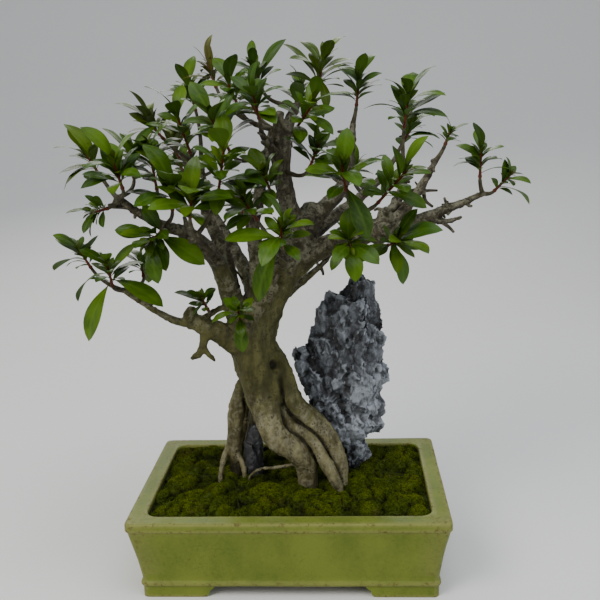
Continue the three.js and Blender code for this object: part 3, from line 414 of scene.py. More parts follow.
def glaze_material():
    """Yellow-green celadon glaze: pooled colour, fine crackle, pinholes, brown where it breaks thin, and
    paler thin glaze with a painted highlight along the edges.
    """
    look = Surface("celadon_glaze")
    edge, bare, _ = look.painted("glaze")
    pooled = look.patches(0.3, 0.7, 30, 5, where=look.stretched(1, 1, 0.5))
    mottle = look.patches(0.35, 0.75, 3.2, 6, 0.65)
    crack = look.steps(look.cells(4.2, "DISTANCE_TO_EDGE"), 0.035, 0.0)
    faint = look.times(crack, look.patches(0.42, 0.7, 24))
    pinholes = look.times(look.steps(look.cells(2.6), 0.19, 0.08), look.patches(0.5, 0.62, 9))
    broken = look.times(edge, look.patches(0.52, 0.62, 4, 6, 0.75))
    clay = look.mix(look.cloud(1.1, 5, 0.7), rgb(0.13, 0.075, 0.045), rgb(0.25, 0.17, 0.11))
    colour = look.mix(pooled, rgb(0.097, 0.132, 0.018), rgb(0.148, 0.182, 0.026))
    colour = look.layer(colour, mottle, 0.3, rgb(0.195, 0.208, 0.032))
    colour = look.layer(colour, faint, 0.5, rgb(0.045, 0.055, 0.006))
    colour = look.layer(colour, pinholes, 0.75, rgb(0.07, 0.055, 0.016))
    # The edge band is paler thinning glaze and a painted highlight along the lip, rim, bead, feet and
    # corners.
    colour = look.layer(colour, edge, 0.5, rgb(0.25, 0.23, 0.085))
    colour = look.layer(colour, broken, 0.8, rgb(0.075, 0.042, 0.012))
    worn = look.plus(look.times(broken, 0.3), look.times(bare, 0.55))
    gloss = look.plus(0.27, look.times(mottle, 0.14))
    waves = look.bumps(look.cloud(9, 3), 0.5, 0.6)
    peel = look.bumps(look.cloud(1.3, 4), 0.14, 0.6, waves)
    return look.finish({
        "Base Color": look.mix(bare, colour, clay),
        "Roughness": look.plus(gloss, worn),
        "Normal": look.bumps(look.inverse(look.plus(faint, pinholes)), 0.15, 0.6, peel),
        "IOR": 1.36,
        "Specular IOR Level": 0.16,
    })


def bark_material():
    """Pale tan roots, olive trunk and dark brown-grey limbs, with dots, lichens with a painted highlight on
    the sides turned to the key light, and painted shade in creases.
    """
    look = Surface("bark")
    drawn = look.stretched(1, 1, 0.35)
    age, crease_shade, lichen_and_highlight = look.painted("bark")
    wide = look.patches(0.35, 0.68, 9, 5, where=drawn)
    mottle = look.patches(0.35, 0.65, 6, 6)
    scabs_and_highlight = look.times(lichen_and_highlight, look.patches(0.42, 0.58, 8, 7, 0.7, 0.6))
    stain = look.patches(0.5, 0.68, 11, 6, 0.65)
    dots = look.times(look.steps(look.cells(2.3), 0.42, 0.24), look.patches(0.44, 0.58, 8, 6, 0.7))
    streak = look.patches(0.56, 0.72, 3.4, 5, 0.65, where=look.stretched(1, 1, 0.15))
    tan = look.mix(wide, rgb(0.06, 0.05, 0.018), rgb(0.19, 0.17, 0.085))
    olive = look.mix(wide, rgb(0.03, 0.028, 0.006), rgb(0.088, 0.085, 0.025))
    dark = look.mix(mottle, rgb(0.018, 0.014, 0.007), rgb(0.066, 0.055, 0.03))
    pale = look.mix(look.cloud(1.5, 3), rgb(0.15, 0.14, 0.085), rgb(0.35, 0.33, 0.235))
    colour = look.mix(look.steps(age, 0.0, 0.45), tan, olive)
    colour = look.mix(look.steps(age, 0.5, 0.95), colour, dark)
    # Pale patches on the sides turned to the key light: lichens and a painted highlight.
    colour = look.layer(colour, scabs_and_highlight, 0.7, pale)
    colour = look.layer(colour, stain, 0.5, rgb(0.03, 0.027, 0.008))
    colour = look.layer(colour, dots, 0.75, rgb(0.03, 0.026, 0.011))
    colour = look.layer(colour, streak, 0.4, rgb(0.045, 0.038, 0.016))
    grain = look.bumps(look.cloud(2.4, 8, 0.7, where=drawn), 1.3, 0.65)
    warts = look.bumps(look.cells(3.1, "SMOOTH_F1"), 0.9, 0.45, grain)
    return look.finish({
        # Painted shade, near black, in creases, forks, the knot hole and at the foot of the far left roots.
        "Base Color": look.layer(colour, crease_shade, 0.9, rgb(0.008, 0.006, 0.002)),
        "Roughness": look.plus(0.5, look.times(look.cloud(5), 0.4)),
        "Normal": look.bumps(look.inverse(dots), 0.6, 0.6, warts),
        "Specular IOR Level": 0.22,
    })


def rock_material():
    """Blue-grey craggy limestone: painted shade in the hollows, a painted highlight on the ridges and white
    veins.
    """
    look = Surface("craggy_rock")
    tall = look.stretched(1.5, 1.5, 0.8)
    hollow, ridge_highlight, low = look.painted("rock")
    slate = look.patches(0.4, 0.64, 17, 7, 0.65, 0.8, where=tall)
    washed = look.patches(0.42, 0.6, 27, 6, 0.65, 1.2, where=tall)
    vein = look.patches(0.60, 0.66, 12, 8, 0.7, 2.2, where=look.stretched(1.6, 1.6, 0.7))
    flecks = look.times(look.steps(look.cells(2.2), 0.3, 0.16), look.patches(0.48, 0.6, 9, 4))
    pale = look.mix(look.cloud(3, 6, 0.7), rgb(0.15, 0.168, 0.19), rgb(0.42, 0.45, 0.48))
    colour = look.mix(slate, rgb(0.018, 0.018, 0.021), rgb(0.135, 0.148, 0.166))
    colour = look.layer(colour, washed, low, pale)
    # Painted highlight on the ridges.
    colour = look.layer(colour, ridge_highlight, 0.55, rgb(0.33, 0.36, 0.39))
    colour = look.layer(colour, vein, 0.7, rgb(0.56, 0.60, 0.63))
    colour = look.layer(colour, flecks, 0.7, rgb(0.02, 0.022, 0.026))
    coarse = look.bumps(look.cloud(5.5, 9, 0.62, 0.6, where=tall), 1.0, 0.7)
    return look.finish({
        # Painted shade in the hollows, pits and ledges.
        "Base Color": look.layer(colour, hollow, 0.85, rgb(0.014, 0.012, 0.011)),
        "Roughness": look.plus(0.42, look.times(look.cloud(4), 0.4)),
        "Normal": look.bumps(look.inverse(vein), 0.4, 0.5, coarse),
    })


def moss_material():
    """Cushion moss: yellow-green tips, painted brighter on the cushion tops as a painted highlight, deep
    green flanks, brown aged moss where painted shade lies, and painted shade in the hollows.
    """
    look = Surface("cushion_moss")
    tip, shade, luck = look.painted("moss")
    # Brown aged moss laid only where the painted shade is.
    aged_in_shade = look.times(shade, look.patches(0.4, 0.6, 6, 5))
    deep = look.mix(luck, rgb(0.006, 0.010, 0.0004), rgb(0.016, 0.026, 0.0008))
    bright = look.mix(luck, rgb(0.07, 0.11, 0.002), rgb(0.21, 0.25, 0.007))
    # The tip paint is also a painted highlight on the cushion tops.
    colour = look.mix(tip, deep, bright)
    colour = look.layer(colour, look.patches(0.42, 0.6, 24, 5, 0.6), 0.6, rgb(0.026, 0.042, 0.002))
    colour = look.layer(colour, look.patches(0.54, 0.68, 19, 6, 0.7, 0.5), 0.55, rgb(0.055, 0.045, 0.006))
    colour = look.layer(colour, aged_in_shade, 0.85, rgb(0.02, 0.012, 0.004))
    return look.finish({
        "Base Color": look.layer(colour, shade, 0.88, rgb(0.003, 0.003, 0.001)),
        "Roughness": look.plus(0.62, look.times(look.cloud(3), 0.3)),
        "Normal": look.bumps(look.cloud(0.9, 5, 0.7), 0.5, 0.7),
        "Specular IOR Level": 0.12,
    })


def leaf_material():
    """Glossy broad leaves: pale midrib and side veins, duller undersides, red stalks and stems."""
    look = Surface("glossy_leaf")
    _, across, luck = look.painted("leaf")
    under, red, vein = look.painted("leaf_kind")
    spots = look.patches(0.45, 0.75, 3.5, 5, 0.6)
    deep = look.mix(luck, rgb(0.012, 0.034, 0.001), rgb(0.030, 0.066, 0.001))
    fresh = look.mix(luck, rgb(0.030, 0.080, 0.001), rgb(0.080, 0.145, 0.002))
    maroon = look.mix(look.cloud(2), rgb(0.05, 0.009, 0.005), rgb(0.14, 0.024, 0.012))
    colour = look.mix(look.patches(0.38, 0.66, 34, 3), deep, fresh)
    colour = look.layer(colour, spots, 0.3, rgb(0.045, 0.105, 0.002))
    colour = look.layer(colour, look.steps(across, 0.75, 1.0), 0.3, rgb(0.06, 0.105, 0.004))
    colour = look.layer(colour, vein, 0.45, rgb(0.10, 0.18, 0.02))
    colour = look.layer(colour, under, 0.5, rgb(0.055, 0.11, 0.012))
    dull = look.plus(look.times(under, 0.3), look.times(spots, 0.1))
    ribs = look.bumps(look.inverse(vein), 0.35, 0.6)
    return look.finish({
        "Base Color": look.mix(red, colour, maroon),
        "Roughness": look.plus(0.33, dull),
        "Normal": look.bumps(look.cloud(1.6, 4), 0.18, 0.4, ribs),
        "IOR": 1.34,
        "Specular IOR Level": 0.3,
    })


def soil_material():
    """Dark granular bonsai soil with paler grit."""
    look = Surface("granular_soil")
    grit = look.steps(look.cells(2.2), 0.5, 0.15)
    colour = look.mix(look.cloud(3, 5), rgb(0.022, 0.014, 0.009), rgb(0.085, 0.055, 0.034))
    return look.finish({
        "Base Color": look.layer(colour, grit, look.patches(0.52, 0.64, 5), rgb(0.20, 0.15, 0.10)),
        "Roughness": look.plus(0.8, look.times(grit, 0.15)),
        "Normal": look.bumps(grit, 1.2, 0.8),
    })


def screen_material():
    """Moulded dark plastic screen, dusty from the soil."""
    look = Surface("screen_plastic")
    dust = look.patches(0.45, 0.7, 4, 5)
    return look.finish({
        "Base Color": look.mix(dust, rgb(0.02, 0.021, 0.018), rgb(0.07, 0.055, 0.038)),
        "Roughness": look.plus(0.45, look.times(dust, 0.35)),
        "Normal": look.bumps(look.cloud(0.8, 3), 0.1, 0.5),
    })


def wire_material():
    """Dulled aluminium wire with oxide blooms."""
    look = Surface("oxidised_wire")
    bloom = look.patches(0.45, 0.7, 2, 5)
    return look.finish({
        "Base Color": look.mix(bloom, rgb(0.42, 0.42, 0.41), rgb(0.24, 0.23, 0.21)),
        "Roughness": look.plus(0.3, look.times(bloom, 0.4)),
        "Normal": look.bumps(look.cloud(0.5, 3), 0.05, 0.5),
        "Metallic": 1.0,
    })


def floor_material():
    look = Surface("pale_floor")
    colour = look.mix(look.cloud(300, 3), rgb(0.72, 0.71, 0.69), rgb(0.76, 0.75, 0.73))
    return look.finish({"Base Color": colour, "Roughness": 0.75})


# ---------------------------------------------------------------- mesh helpers


def chance(seed):
    """A repeatable number from 0 to 1 for a seed."""
    wave = math.sin(seed * 127.1 + 311.7) * 43758.5453
    return wave - math.floor(wave)


def unit(vector):
    return vector / np.linalg.norm(vector)


def turned(vector, axis, angle):
    """The vector turned about a unit axis."""
    along = axis * np.dot(axis, vector) * (1 - math.cos(angle))
    return vector * math.cos(angle) + np.cross(axis, vector) * math.sin(angle) + along


def add_object(name, data):
    """A new object in the scene."""
    made = bpy.data.objects.new(name, data)
    bpy.context.scene.collection.objects.link(made)
    return made


class Sheets:
    """Collects the vertices and faces of one mesh, with its paints: three values at each vertex."""

    def __init__(self, *paints):
        self.points = []
        self.faces = []
        self.paints = {name: [] for name in paints}
        self.count = 0

    def add(self, points, faces, **paints):
        self.points.append(np.asarray(points, float))
        self.faces.extend(tuple(self.count + i for i in face) for face in faces)
        for name, values in self.paints.items():
            values.append(np.broadcast_to(paints.get(name, (0, 0, 0)), (len(points), 3)))
        self.count += len(points)

    def build(self, name, lift=0.0):
        """The mesh object, in metres, raised by lift millimetres."""
        points = np.vstack(self.points) + [0, 0, lift]
        mesh = bpy.data.meshes.new(name)
        mesh.from_pydata((points * MM).tolist(), [], self.faces)
        for paint, values in self.paints.items():
            paint_mesh(mesh, paint, np.vstack(values))
        mesh.shade_smooth()
        return add_object(name, mesh)


def paint_mesh(mesh, name, values):
    """Stores three values for each vertex, for the materials to read."""
    layer = mesh.attributes.new(name, "FLOAT_COLOR", "POINT")
    rows = np.ones((len(mesh.vertices), 4))
    rows[:, :3] = values
    layer.data.foreach_set("color", rows.ravel())


def points_of(mesh):
    """Vertex positions in millimetres."""
    flat = np.empty(3 * len(mesh.vertices))
    mesh.vertices.foreach_get("co", flat)
    return flat.reshape(-1, 3) / MM


def normals_of(mesh):
    flat = np.empty(3 * len(mesh.vertices))
    mesh.vertices.foreach_get("normal", flat)
    return flat.reshape(-1, 3)


def move_points(mesh, points):
    mesh.vertices.foreach_set("co", (points * MM).ravel())
    mesh.update()


def push_out(mesh, amount):
    """Moves every vertex along its normal by its own amount in millimetres."""
    move_points(mesh, points_of(mesh) + normals_of(mesh) * amount[:, None])


def spread(mesh, values, rounds):
    """Values averaged with their neighbours' along the mesh's edges, several times over."""
    ends = np.empty(2 * len(mesh.edges), int)
    mesh.edges.foreach_get("vertices", ends)
    first, second = ends.reshape(-1, 2).T
    degree = np.bincount(ends, minlength=len(values)).reshape(-1, 1)
    for _ in range(rounds):
        total = np.zeros_like(values)
        np.add.at(total, first, values[second])
        np.add.at(total, second, values[first])
        values = 0.5 * values + 0.5 * total / degree
    return values


def hollowness(mesh, rounds):
    """How far each vertex lies below its smoothed surroundings, in millimetres."""
    points = points_of(mesh)
    return ((spread(mesh, points, rounds) - points) * normals_of(mesh)).sum(axis=1)


def between(value, low, high):
    """0 at low, 1 at high, smooth between."""
    share = np.clip((value - low) / (high - low), 0, 1)
    return share * share * (3 - 2 * share)


def near(value, at, width):
    """1 at a value, falling smoothly to 0 over about that width on both sides."""
    return np.exp(-(((value - at) / width) ** 2))


def noisy(points, size, detail=4, offset=0.0):
    """Fractal noise from about -1 to 1 at each point, with features of that size."""
    shift = Vector((offset, -offset, 0.7 * offset))
    values = [noise.fractal(Vector(p) / size + shift, 1.0, 2.0, detail) for p in points.tolist()]
    return np.array(values)


def cell_distance(points, size, offset=0.0):
    """Distance to the nearest cell centre, in cell sizes."""
    shift = Vector((offset, offset, -offset))
    return np.array([noise.voronoi(Vector(p) / size + shift)[0][0] for p in points.tolist()])


def facets(points, size, offset=0.0):
    """Flat chips at odd tilts, one to each cell of about that size, from about -1 to 1."""
    shift = Vector((offset, -offset, offset))
    heights = []
    for p in points.tolist():
        place = Vector(p) / size + shift
        centre = noise.voronoi(place)[1][0]
        heights.append(noise.cell_vector(centre * 7.3).dot(place - centre))
    return np.array(heights)


def remesh(target, voxel_mm, smoothing=0):
    """One even skin over everything in the object."""
    skin = target.modifiers.new("skin", "REMESH")
    skin.mode = "VOXEL"
    skin.voxel_size = voxel_mm * MM
    skin.use_smooth_shade = True
    if smoothing:
        soften = target.modifiers.new("soften", "SMOOTH")
        soften.factor = 0.5
        soften.iterations = smoothing
    bake_modifiers(target)


def bevel(target, width_mm, segments, angle=30):
    """Rounds every edge that is sharper than an angle in degrees."""
    soften = target.modifiers.new("soften", "BEVEL")
    soften.width = width_mm * MM
    soften.segments = segments
    soften.angle_limit = math.radians(angle)
    bake_modifiers(target)


def bake_modifiers(target):
    """Turns the object's modifiers into its mesh."""
    bpy.context.view_layer.update()
    shown = target.evaluated_get(bpy.context.evaluated_depsgraph_get())
    mesh = bpy.data.meshes.new_from_object(shown)
    target.modifiers.clear()
    target.data = mesh


def copy_of(node, name):
    """A free copy of a CAD node's mesh."""
    return add_object(name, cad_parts[node].data.copy())


def stands_for(piece, node, material):
    """Puts a finished piece in the place of a CAD node."""
    piece.data.materials.clear()
    piece.data.materials.append(material)
    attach(piece, "root")
    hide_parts(node)


def ring_faces(rings, sides, closed=True):
    """Quads between successive rings of points, each ring of the same count."""
    faces = []
    for r in range(rings - 1):
        for i in range(sides if closed else sides - 1):
            a, b = r * sides + i, r * sides + (i + 1) % sides
            faces.append((a, b, b + sides, a + sides))
    return faces


def capped_body(name, rings):
    """A closed body through rings of points, each of the same count."""
    sides = len(rings[0])
    last = (len(rings) - 1) * sides
    faces = ring_faces(len(rings), sides)
    faces.append(tuple(reversed(range(sides))))
    faces.append(tuple(range(last, last + sides)))
    body = Sheets()
    body.add(np.vstack(rings), faces)
    return body.build(name)


def smooth_path(stations, per_span):
    """Points along a centripetal Catmull-Rom curve through rows of x, y, z and radius."""
    rows = np.array(stations, float)
    padded = np.vstack([2 * rows[0] - rows[1], rows, 2 * rows[-1] - rows[-2]])
    share = np.arange(per_span)[:, None] / per_span
    path = []
    for a, b, c, d in zip(padded, padded[1:], padded[2:], padded[3:]):
        gaps = [np.linalg.norm((q - p)[:3]) for p, q in ((a, b), (b, c), (c, d))]
        before, here, after = [max(gap, 1e-6) ** 0.5 for gap in gaps]
        leave = ((b - a) / before - (c - a) / (before + here) + (c - b) / here) * here
        arrive = ((c - b) / here - (d - b) / (here + after) + (d - c) / after) * here
        cubic = 2 * (b - c) + leave + arrive
        square = 3 * (c - b) - 2 * leave - arrive
        path.append(b + leave * share + square * share**2 + cubic * share**3)
    path.append(rows[-1:])
    return np.vstack(path)


def cross_axes(axis):
    """Two directions square to an axis and to each other."""
    helper = np.array([0, 0, 1.0]) if abs(axis[2]) < 0.9 else np.array([1.0, 0, 0])
    first = unit(np.cross(helper, axis))
    return first, np.cross(axis, first)


def frames_along(points):
    """A tangent and two cross directions at each point, without sudden twists."""
    tangents = np.gradient(points, axis=0)
    tangents /= np.linalg.norm(tangents, axis=1, keepdims=True)
    first, _ = cross_axes(tangents[0])
    firsts = []
    for tangent in tangents:
        first = unit(first - tangent * np.dot(first, tangent))
        firsts.append(first)
    firsts = np.array(firsts)
    return tangents, firsts, np.cross(tangents, firsts)


def tube(path, sides, lobes=0.0, phase=0.0):
    """A closed tube with round ends round rows of x, y, z and radius. Lobes flute its section."""
    points, radii = path[:, :3], path[:, 3]
    tangents, firsts, seconds = frames_along(points)
    angle = 2 * math.pi * np.arange(sides) / sides
    length = np.concatenate([[0], np.cumsum(np.linalg.norm(np.diff(points, axis=0), axis=1))])
    rings = []
    for r, radius in enumerate(radii):
        wander = phase + 0.03 * length[r]
        flute = 1 + lobes * (0.6 * np.sin(3 * angle + wander) + 0.4 * np.sin(5 * angle - 1.7 * wander))
        around = np.outer(np.cos(angle) * flute, firsts[r]) + np.outer(np.sin(angle) * flute, seconds[r])
        rings.append(points[r] + radius * around)
    start, end = [], []
    for grow, reach in ((0.45, 0.5), (0.85, 0.25)):
        start.append(points[0] + (rings[0] - points[0]) * grow - tangents[0] * radii[0] * reach)
        end.insert(0, points[-1] + (rings[-1] - points[-1]) * grow + tangents[-1] * radii[-1] * reach)
    rings = [*start, *rings, *end]
    faces = ring_faces(len(rings), sides)
    last = len(rings) * sides
    tips = [points[0] - tangents[0] * radii[0] * 0.6, points[-1] + tangents[-1] * radii[-1] * 0.6]
    for i in range(sides):
        after = (i + 1) % sides
        faces.append((last, after, i))
        faces.append((last + 1, last - sides + i, last - sides + after))
    return np.vstack([*rings, tips]), faces


# ---------------------------------------------------------------- pot

WALL_TOP = POT_HEIGHT - LIP_HEIGHT
WALL_FOOT = LIP_PROUD + WALL_TAPER
FOOT_INSET = WALL_FOOT - MOULDING_PROUD + FOOT_SET_BACK


def rounded_rectangle(half_x, half_y, corner_r, per_corner=9, per_side=12):
    """An even outline of points with rounded corners, anticlockwise from above."""

    def on_corner(corner, quarter_turns):
        sides = [(1, 1), (-1, 1), (-1, -1), (1, -1)][corner % 4]
        angle = quarter_turns * math.pi / 2
        centre = np.array([half_x - corner_r, half_y - corner_r]) * sides
        return centre + corner_r * np.array([math.cos(angle), math.sin(angle)])

    outline = []
    for corner in range(4):
        outline += [on_corner(corner, corner + i / (per_corner - 1)) for i in range(per_corner)]
        last = outline[-1]
        following = on_corner(corner + 1, corner + 1)
        outline += [last + (following - last) * i / per_side for i in range(1, per_side)]
    return np.array(outline)


def arc(centre_inset, centre_z, radius_inset, radius_z, start, end, count):
    """Levels of the pot's profile along an elliptical arc, with its angles in quarter turns."""
    angles = np.linspace(start, end, count) * math.pi / 2
    insets = centre_inset - radius_inset * np.cos(angles)
    return list(zip(insets, centre_z + radius_z * np.sin(angles)))


def pot_levels():
    """The profile of the pot: how far in from the rim's outline, and how high."""
    bead_middle = FOOT_HEIGHT + MOULDING_HEIGHT / 2
    wall_low = FOOT_HEIGHT + MOULDING_HEIGHT + 0.4
    wall_high = WALL_TOP - 0.6
    levels = [(WALL_FOOT + 0.6, FOOT_HEIGHT)]
    levels += arc(WALL_FOOT, bead_middle, MOULDING_PROUD, MOULDING_HEIGHT / 2, -0.93, 0.93, 9)
    for share in np.linspace(0, 1, 14):
        dish = 0.5 * math.sin(math.pi * share)
        levels.append((WALL_FOOT - WALL_TAPER * share + dish, wall_low + (wall_high - wall_low) * share))
    levels += arc(LIP_PROUD, WALL_TOP + LIP_PROUD, LIP_PROUD, LIP_PROUD, -0.9, 0, 5)
    levels += [(0, POT_HEIGHT - 2 * RIM_EDGE_R)]
    levels += arc(RIM_EDGE_R, POT_HEIGHT - RIM_EDGE_R, RIM_EDGE_R, RIM_EDGE_R, 0, 1, 6)
    flat = RIM_WIDTH - 2 * RIM_EDGE_R
    levels += [(RIM_EDGE_R + flat * share, POT_HEIGHT) for share in (0.25, 0.5, 0.75)]
    inner = arc(0, POT_HEIGHT - RIM_EDGE_R, RIM_EDGE_R, RIM_EDGE_R, 1, 0, 6)
    levels += [(RIM_WIDTH - RIM_EDGE_R - inset, z) for inset, z in inner]
    levels += [(RIM_WIDTH, z) for z in (POT_HEIGHT - 6, POT_HEIGHT - 20, FLOOR_TOP)]
    return levels


def loft_levels(name, levels, corner_r):
    """A closed body through rounded rectangles at the given levels."""
    rings = []
    for inset, z in levels:
        outline = rounded_rectangle(HALF_X - inset, HALF_Y - inset, corner_r(inset, z))
        rings.append(np.column_stack([outline, np.full(len(outline), z)]))
    return capped_body(name, rings)


def cut(target, cutter):
    """Takes the cutter out of the target and removes the cutter."""
    boolean = target.modifiers.new("cut", "BOOLEAN")
    boolean.operation = "DIFFERENCE"
    boolean.solver = "EXACT"
    boolean.object = cutter
    bake_modifiers(target)
    bpy.data.objects.remove(cutter)


def make_foot_arch(length, along_x):
    """The hollow under a straight side: an arch with curved ends, pushed right through."""
    curl = 0.45 * FOOT_HEIGHT
    bend = 0.55 * FOOT_HEIGHT
    half = length / 2
    turn = np.linspace(0, 1, 8)
    shoulder = [(half + curl * (1 - t) ** 2, 0.5 + bend * t**2) for t in turn]
    hollow = [(half - curl * t**0.5, bend + 0.5 + (curl - 0.5) * t) for t in turn[1:]]
    right = [(half + curl, -1), *shoulder, *hollow]
    across, height = np.array(right + [(-u, z) for u, z in reversed(right)]).T
    reach = 1.2 * HALF_X
    sections = []
    for depth in (reach, -reach) if along_x else (-reach, reach):
        flat = np.full(len(across), depth)
        sections.append(np.column_stack([across, flat, height] if along_x else [flat, across, height]))
    return capped_body("arch", sections)


def make_feet():
    """Four bracket feet: a low ring with an arch through each side, its edges softened."""
    heights = (0, 0.5, 1.5, 3, 5, 7, 9, FOOT_HEIGHT + 1)
    levels = [(FOOT_INSET, z) for z in heights]
    feet = loft_levels("feet", levels, lambda inset, z: OUTER_CORNER_R)
    within = [(FOOT_INSET + FOOT_WIDTH, -1), (FOOT_INSET + FOOT_WIDTH, FOOT_HEIGHT + 2)]
    cut(feet, loft_levels("within", within, lambda inset, z: OUTER_CORNER_R))
    cut(feet, make_foot_arch(2 * (HALF_X - FOOT_INSET - FOOT_LENGTH), True))
    cut(feet, make_foot_arch(2 * (HALF_Y - FOOT_INSET - FOOT_SIDE_LENGTH), False))
    bevel(feet, 0.9, 3, 40)
    return feet


def make_drain_cutter(x):
    """A plug the size of a drain hole, right through the floor."""
    sides = 40
    angle = 2 * math.pi * np.arange(sides) / sides
    circle = DRAIN_HOLE_R * np.column_stack([np.cos(angle), np.sin(angle)]) + [x, 0]
    rings = [np.column_stack([circle, np.full(sides, z)]) for z in (FOOT_HEIGHT - 3, FLOOR_TOP + 3)]
    return capped_body("drain", rings)


def glaze_paint(points):
    """Where the glaze breaks paler over edges, with a painted highlight along them, and where the clay is
    bare.
    """
    x, y, z = points.T
    inset = np.minimum(HALF_X - abs(x), HALF_Y - abs(y))
    outer = inset < 4
    edge = near(z, POT_HEIGHT - 0.8, 1.4) * outer
    edge += near(z, WALL_TOP + 0.7, 1.2) * outer
    edge += near(inset, RIM_WIDTH - 1, 1.4) * (z > POT_HEIGHT - 4)
    edge += 0.8 * near(z, FOOT_HEIGHT + 2.4, 2.2) * (inset < WALL_FOOT + 1)
    edge += near(z, 0.6, 1.3)
    # The corners get the pale edge band too: thin glaze and painted highlight.
    both = np.maximum(HALF_X - abs(x), HALF_Y - abs(y))
    edge += 0.5 * (both < WALL_FOOT + 4)
    underside = (z < FOOT_HEIGHT + 0.3) & (inset > WALL_FOOT + 1) & (z > FOOT_HEIGHT - 0.5)
    inside = (inset > RIM_WIDTH - 0.3) & (z < POT_HEIGHT - 7) & (z > FOOT_HEIGHT + 0.4)
    bare = (z < 0.4) | underside | inside
    return np.column_stack([np.clip(edge, 0, 1), bare, np.zeros(len(points))])


def make_pot():
    """Body and feet in one mesh, slightly uneven, as a hand-pressed pot is."""

    def corner_r(inset, z):
        return INNER_CORNER_R if inset > RIM_WIDTH - 4 and z > FLOOR_TOP - 1 else OUTER_CORNER_R

    body = loft_levels("glazed_pot", pot_levels(), corner_r)
    for x in (-DRAIN_X, DRAIN_X):
        cut(body, make_drain_cutter(x))
    feet = make_feet()
    whole = Sheets("glaze")
    for part in (body, feet):
        points = points_of(part.data)
        slump = 0.22 * noisy(points, 26, 2) * between(points[:, 2], 2, 12)
        points = points + normals_of(part.data) * slump[:, None]
        whole.add(points, [tuple(face.vertices) for face in part.data.polygons], glaze=glaze_paint(points))
        bpy.data.objects.remove(part)
    pot = whole.build("glazed_pot_body")
    pot.data.set_sharp_from_angle(angle=math.radians(50))
    stands_for(pot, "pot", glaze_material())


# ---------------------------------------------------------------- drain screens and clips


def clip_path(node, x):
    """A wire from under the pot's floor up through the hole, over the screen and down again."""
    low, high = (np.array(corner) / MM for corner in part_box(node))
    top = high[2] - WIRE_R
    bottom = low[2] + WIRE_R
    reach = high[0] - x
    right = [(3, top), (6, top - 0.4), (7, top - 2), (7, bottom + 2), (8, bottom + 0.4), (reach, bottom)]
    line = [(-d, z) for d, z in reversed(right)] + right
    return smooth_path([(x + d, 0, z, WIRE_R) for d, z in line], 5)


def make_drainage():
    plastic = screen_material()
    wire = wire_material()
    for number, x in (("01", -DRAIN_X), ("02", DRAIN_X)):
        screen = copy_of(f"drain_screen_{number}", f"drain_mesh_{number}")
        bevel(screen, 0.2, 2)
        stands_for(screen, f"drain_screen_{number}", plastic)
        clip = Sheets()
        clip.add(*tube(clip_path(f"screen_clip_{number}", x), 12))
        stands_for(clip.build(f"mesh_wire_{number}"), f"screen_clip_{number}", wire)


# ---------------------------------------------------------------- tree


def shoot_axis(shoot):
    return unit(np.array(shoot.aim, float))


def twig_path(shoot):
    """The twig from a limb's nearest station to the foot of its shoot."""
    end = np.array(shoot.at, float)
    stations = np.array(WOOD[shoot.limb], float)
    nearest = stations[np.argmin(np.linalg.norm(stations[:, :3] - end, axis=1))]
    start, limb_r = nearest[:3], nearest[3]
    reach = np.linalg.norm(end - start)
    swing = end - shoot_axis(shoot) * 0.45 * reach
    t = np.linspace(0, 1, 14)[:, None]
    curve = start * (1 - t) ** 2 + swing * 2 * t * (1 - t) + end * t**2
    radius = min(TWIG_ROOT_R, limb_r) * (1 - t) + TWIG_TIP_R * t
    joints = 1 + 0.14 * np.maximum(np.cos(reach * t * 0.55), 0) ** 6
    return np.hstack([curve, radius * joints])


def limb_samples():
    """Points along every root and limb with their radii, for the bark to follow."""
    return np.vstack([smooth_path(stations, 5) for stations in WOOD.values()])


def make_skeleton():
    """Every root and limb under one even skin."""
    limbs = Sheets()
    for number, (name, stations) in enumerate(WOOD.items()):
        lobes = 0.09 if "root" in name else 0.04
        if name == "trunk":
            lobes = 0.06
        slim = 0.75 if name == "arching_rootlet" else 1
        limbs.add(*tube(smooth_path(stations, 6) * [1, 1, 1, slim], 20, lobes, 1.3 * number))
    skeleton = limbs.build("skeleton", POT_HEIGHT)
    remesh(skeleton, BARK_VOXEL, 3)
    return skeleton


def root_forks(points):
    """1 right in the fork between two roots or a root and the trunk, down to 0 on their backs."""
    away = {}
    for name, stations in WOOD.items():
        if name == "trunk" or name.endswith("root"):
            group = "trunk" if name == "front_root" else name
            path = smooth_path(stations, 8)
            gap = np.linalg.norm(points[:, None] - path[None, :, :3], axis=2) - path[:, 3]
            away[group] = np.minimum(away.get(group, np.inf), gap.min(axis=1))
    nearest = np.sort(list(away.values()), axis=0)
    return near(nearest[1], nearest[0], 1.6)


def limb_radius(points):
    """The radius of the root or limb that is nearest to each point."""
    samples = limb_samples()
    tree = kdtree.KDTree(len(samples))
    for i, row in enumerate(samples):
        tree.insert(row[:3], i)
    tree.balance()
    return np.array([samples[tree.find(p)[1], 3] for p in points.tolist()])


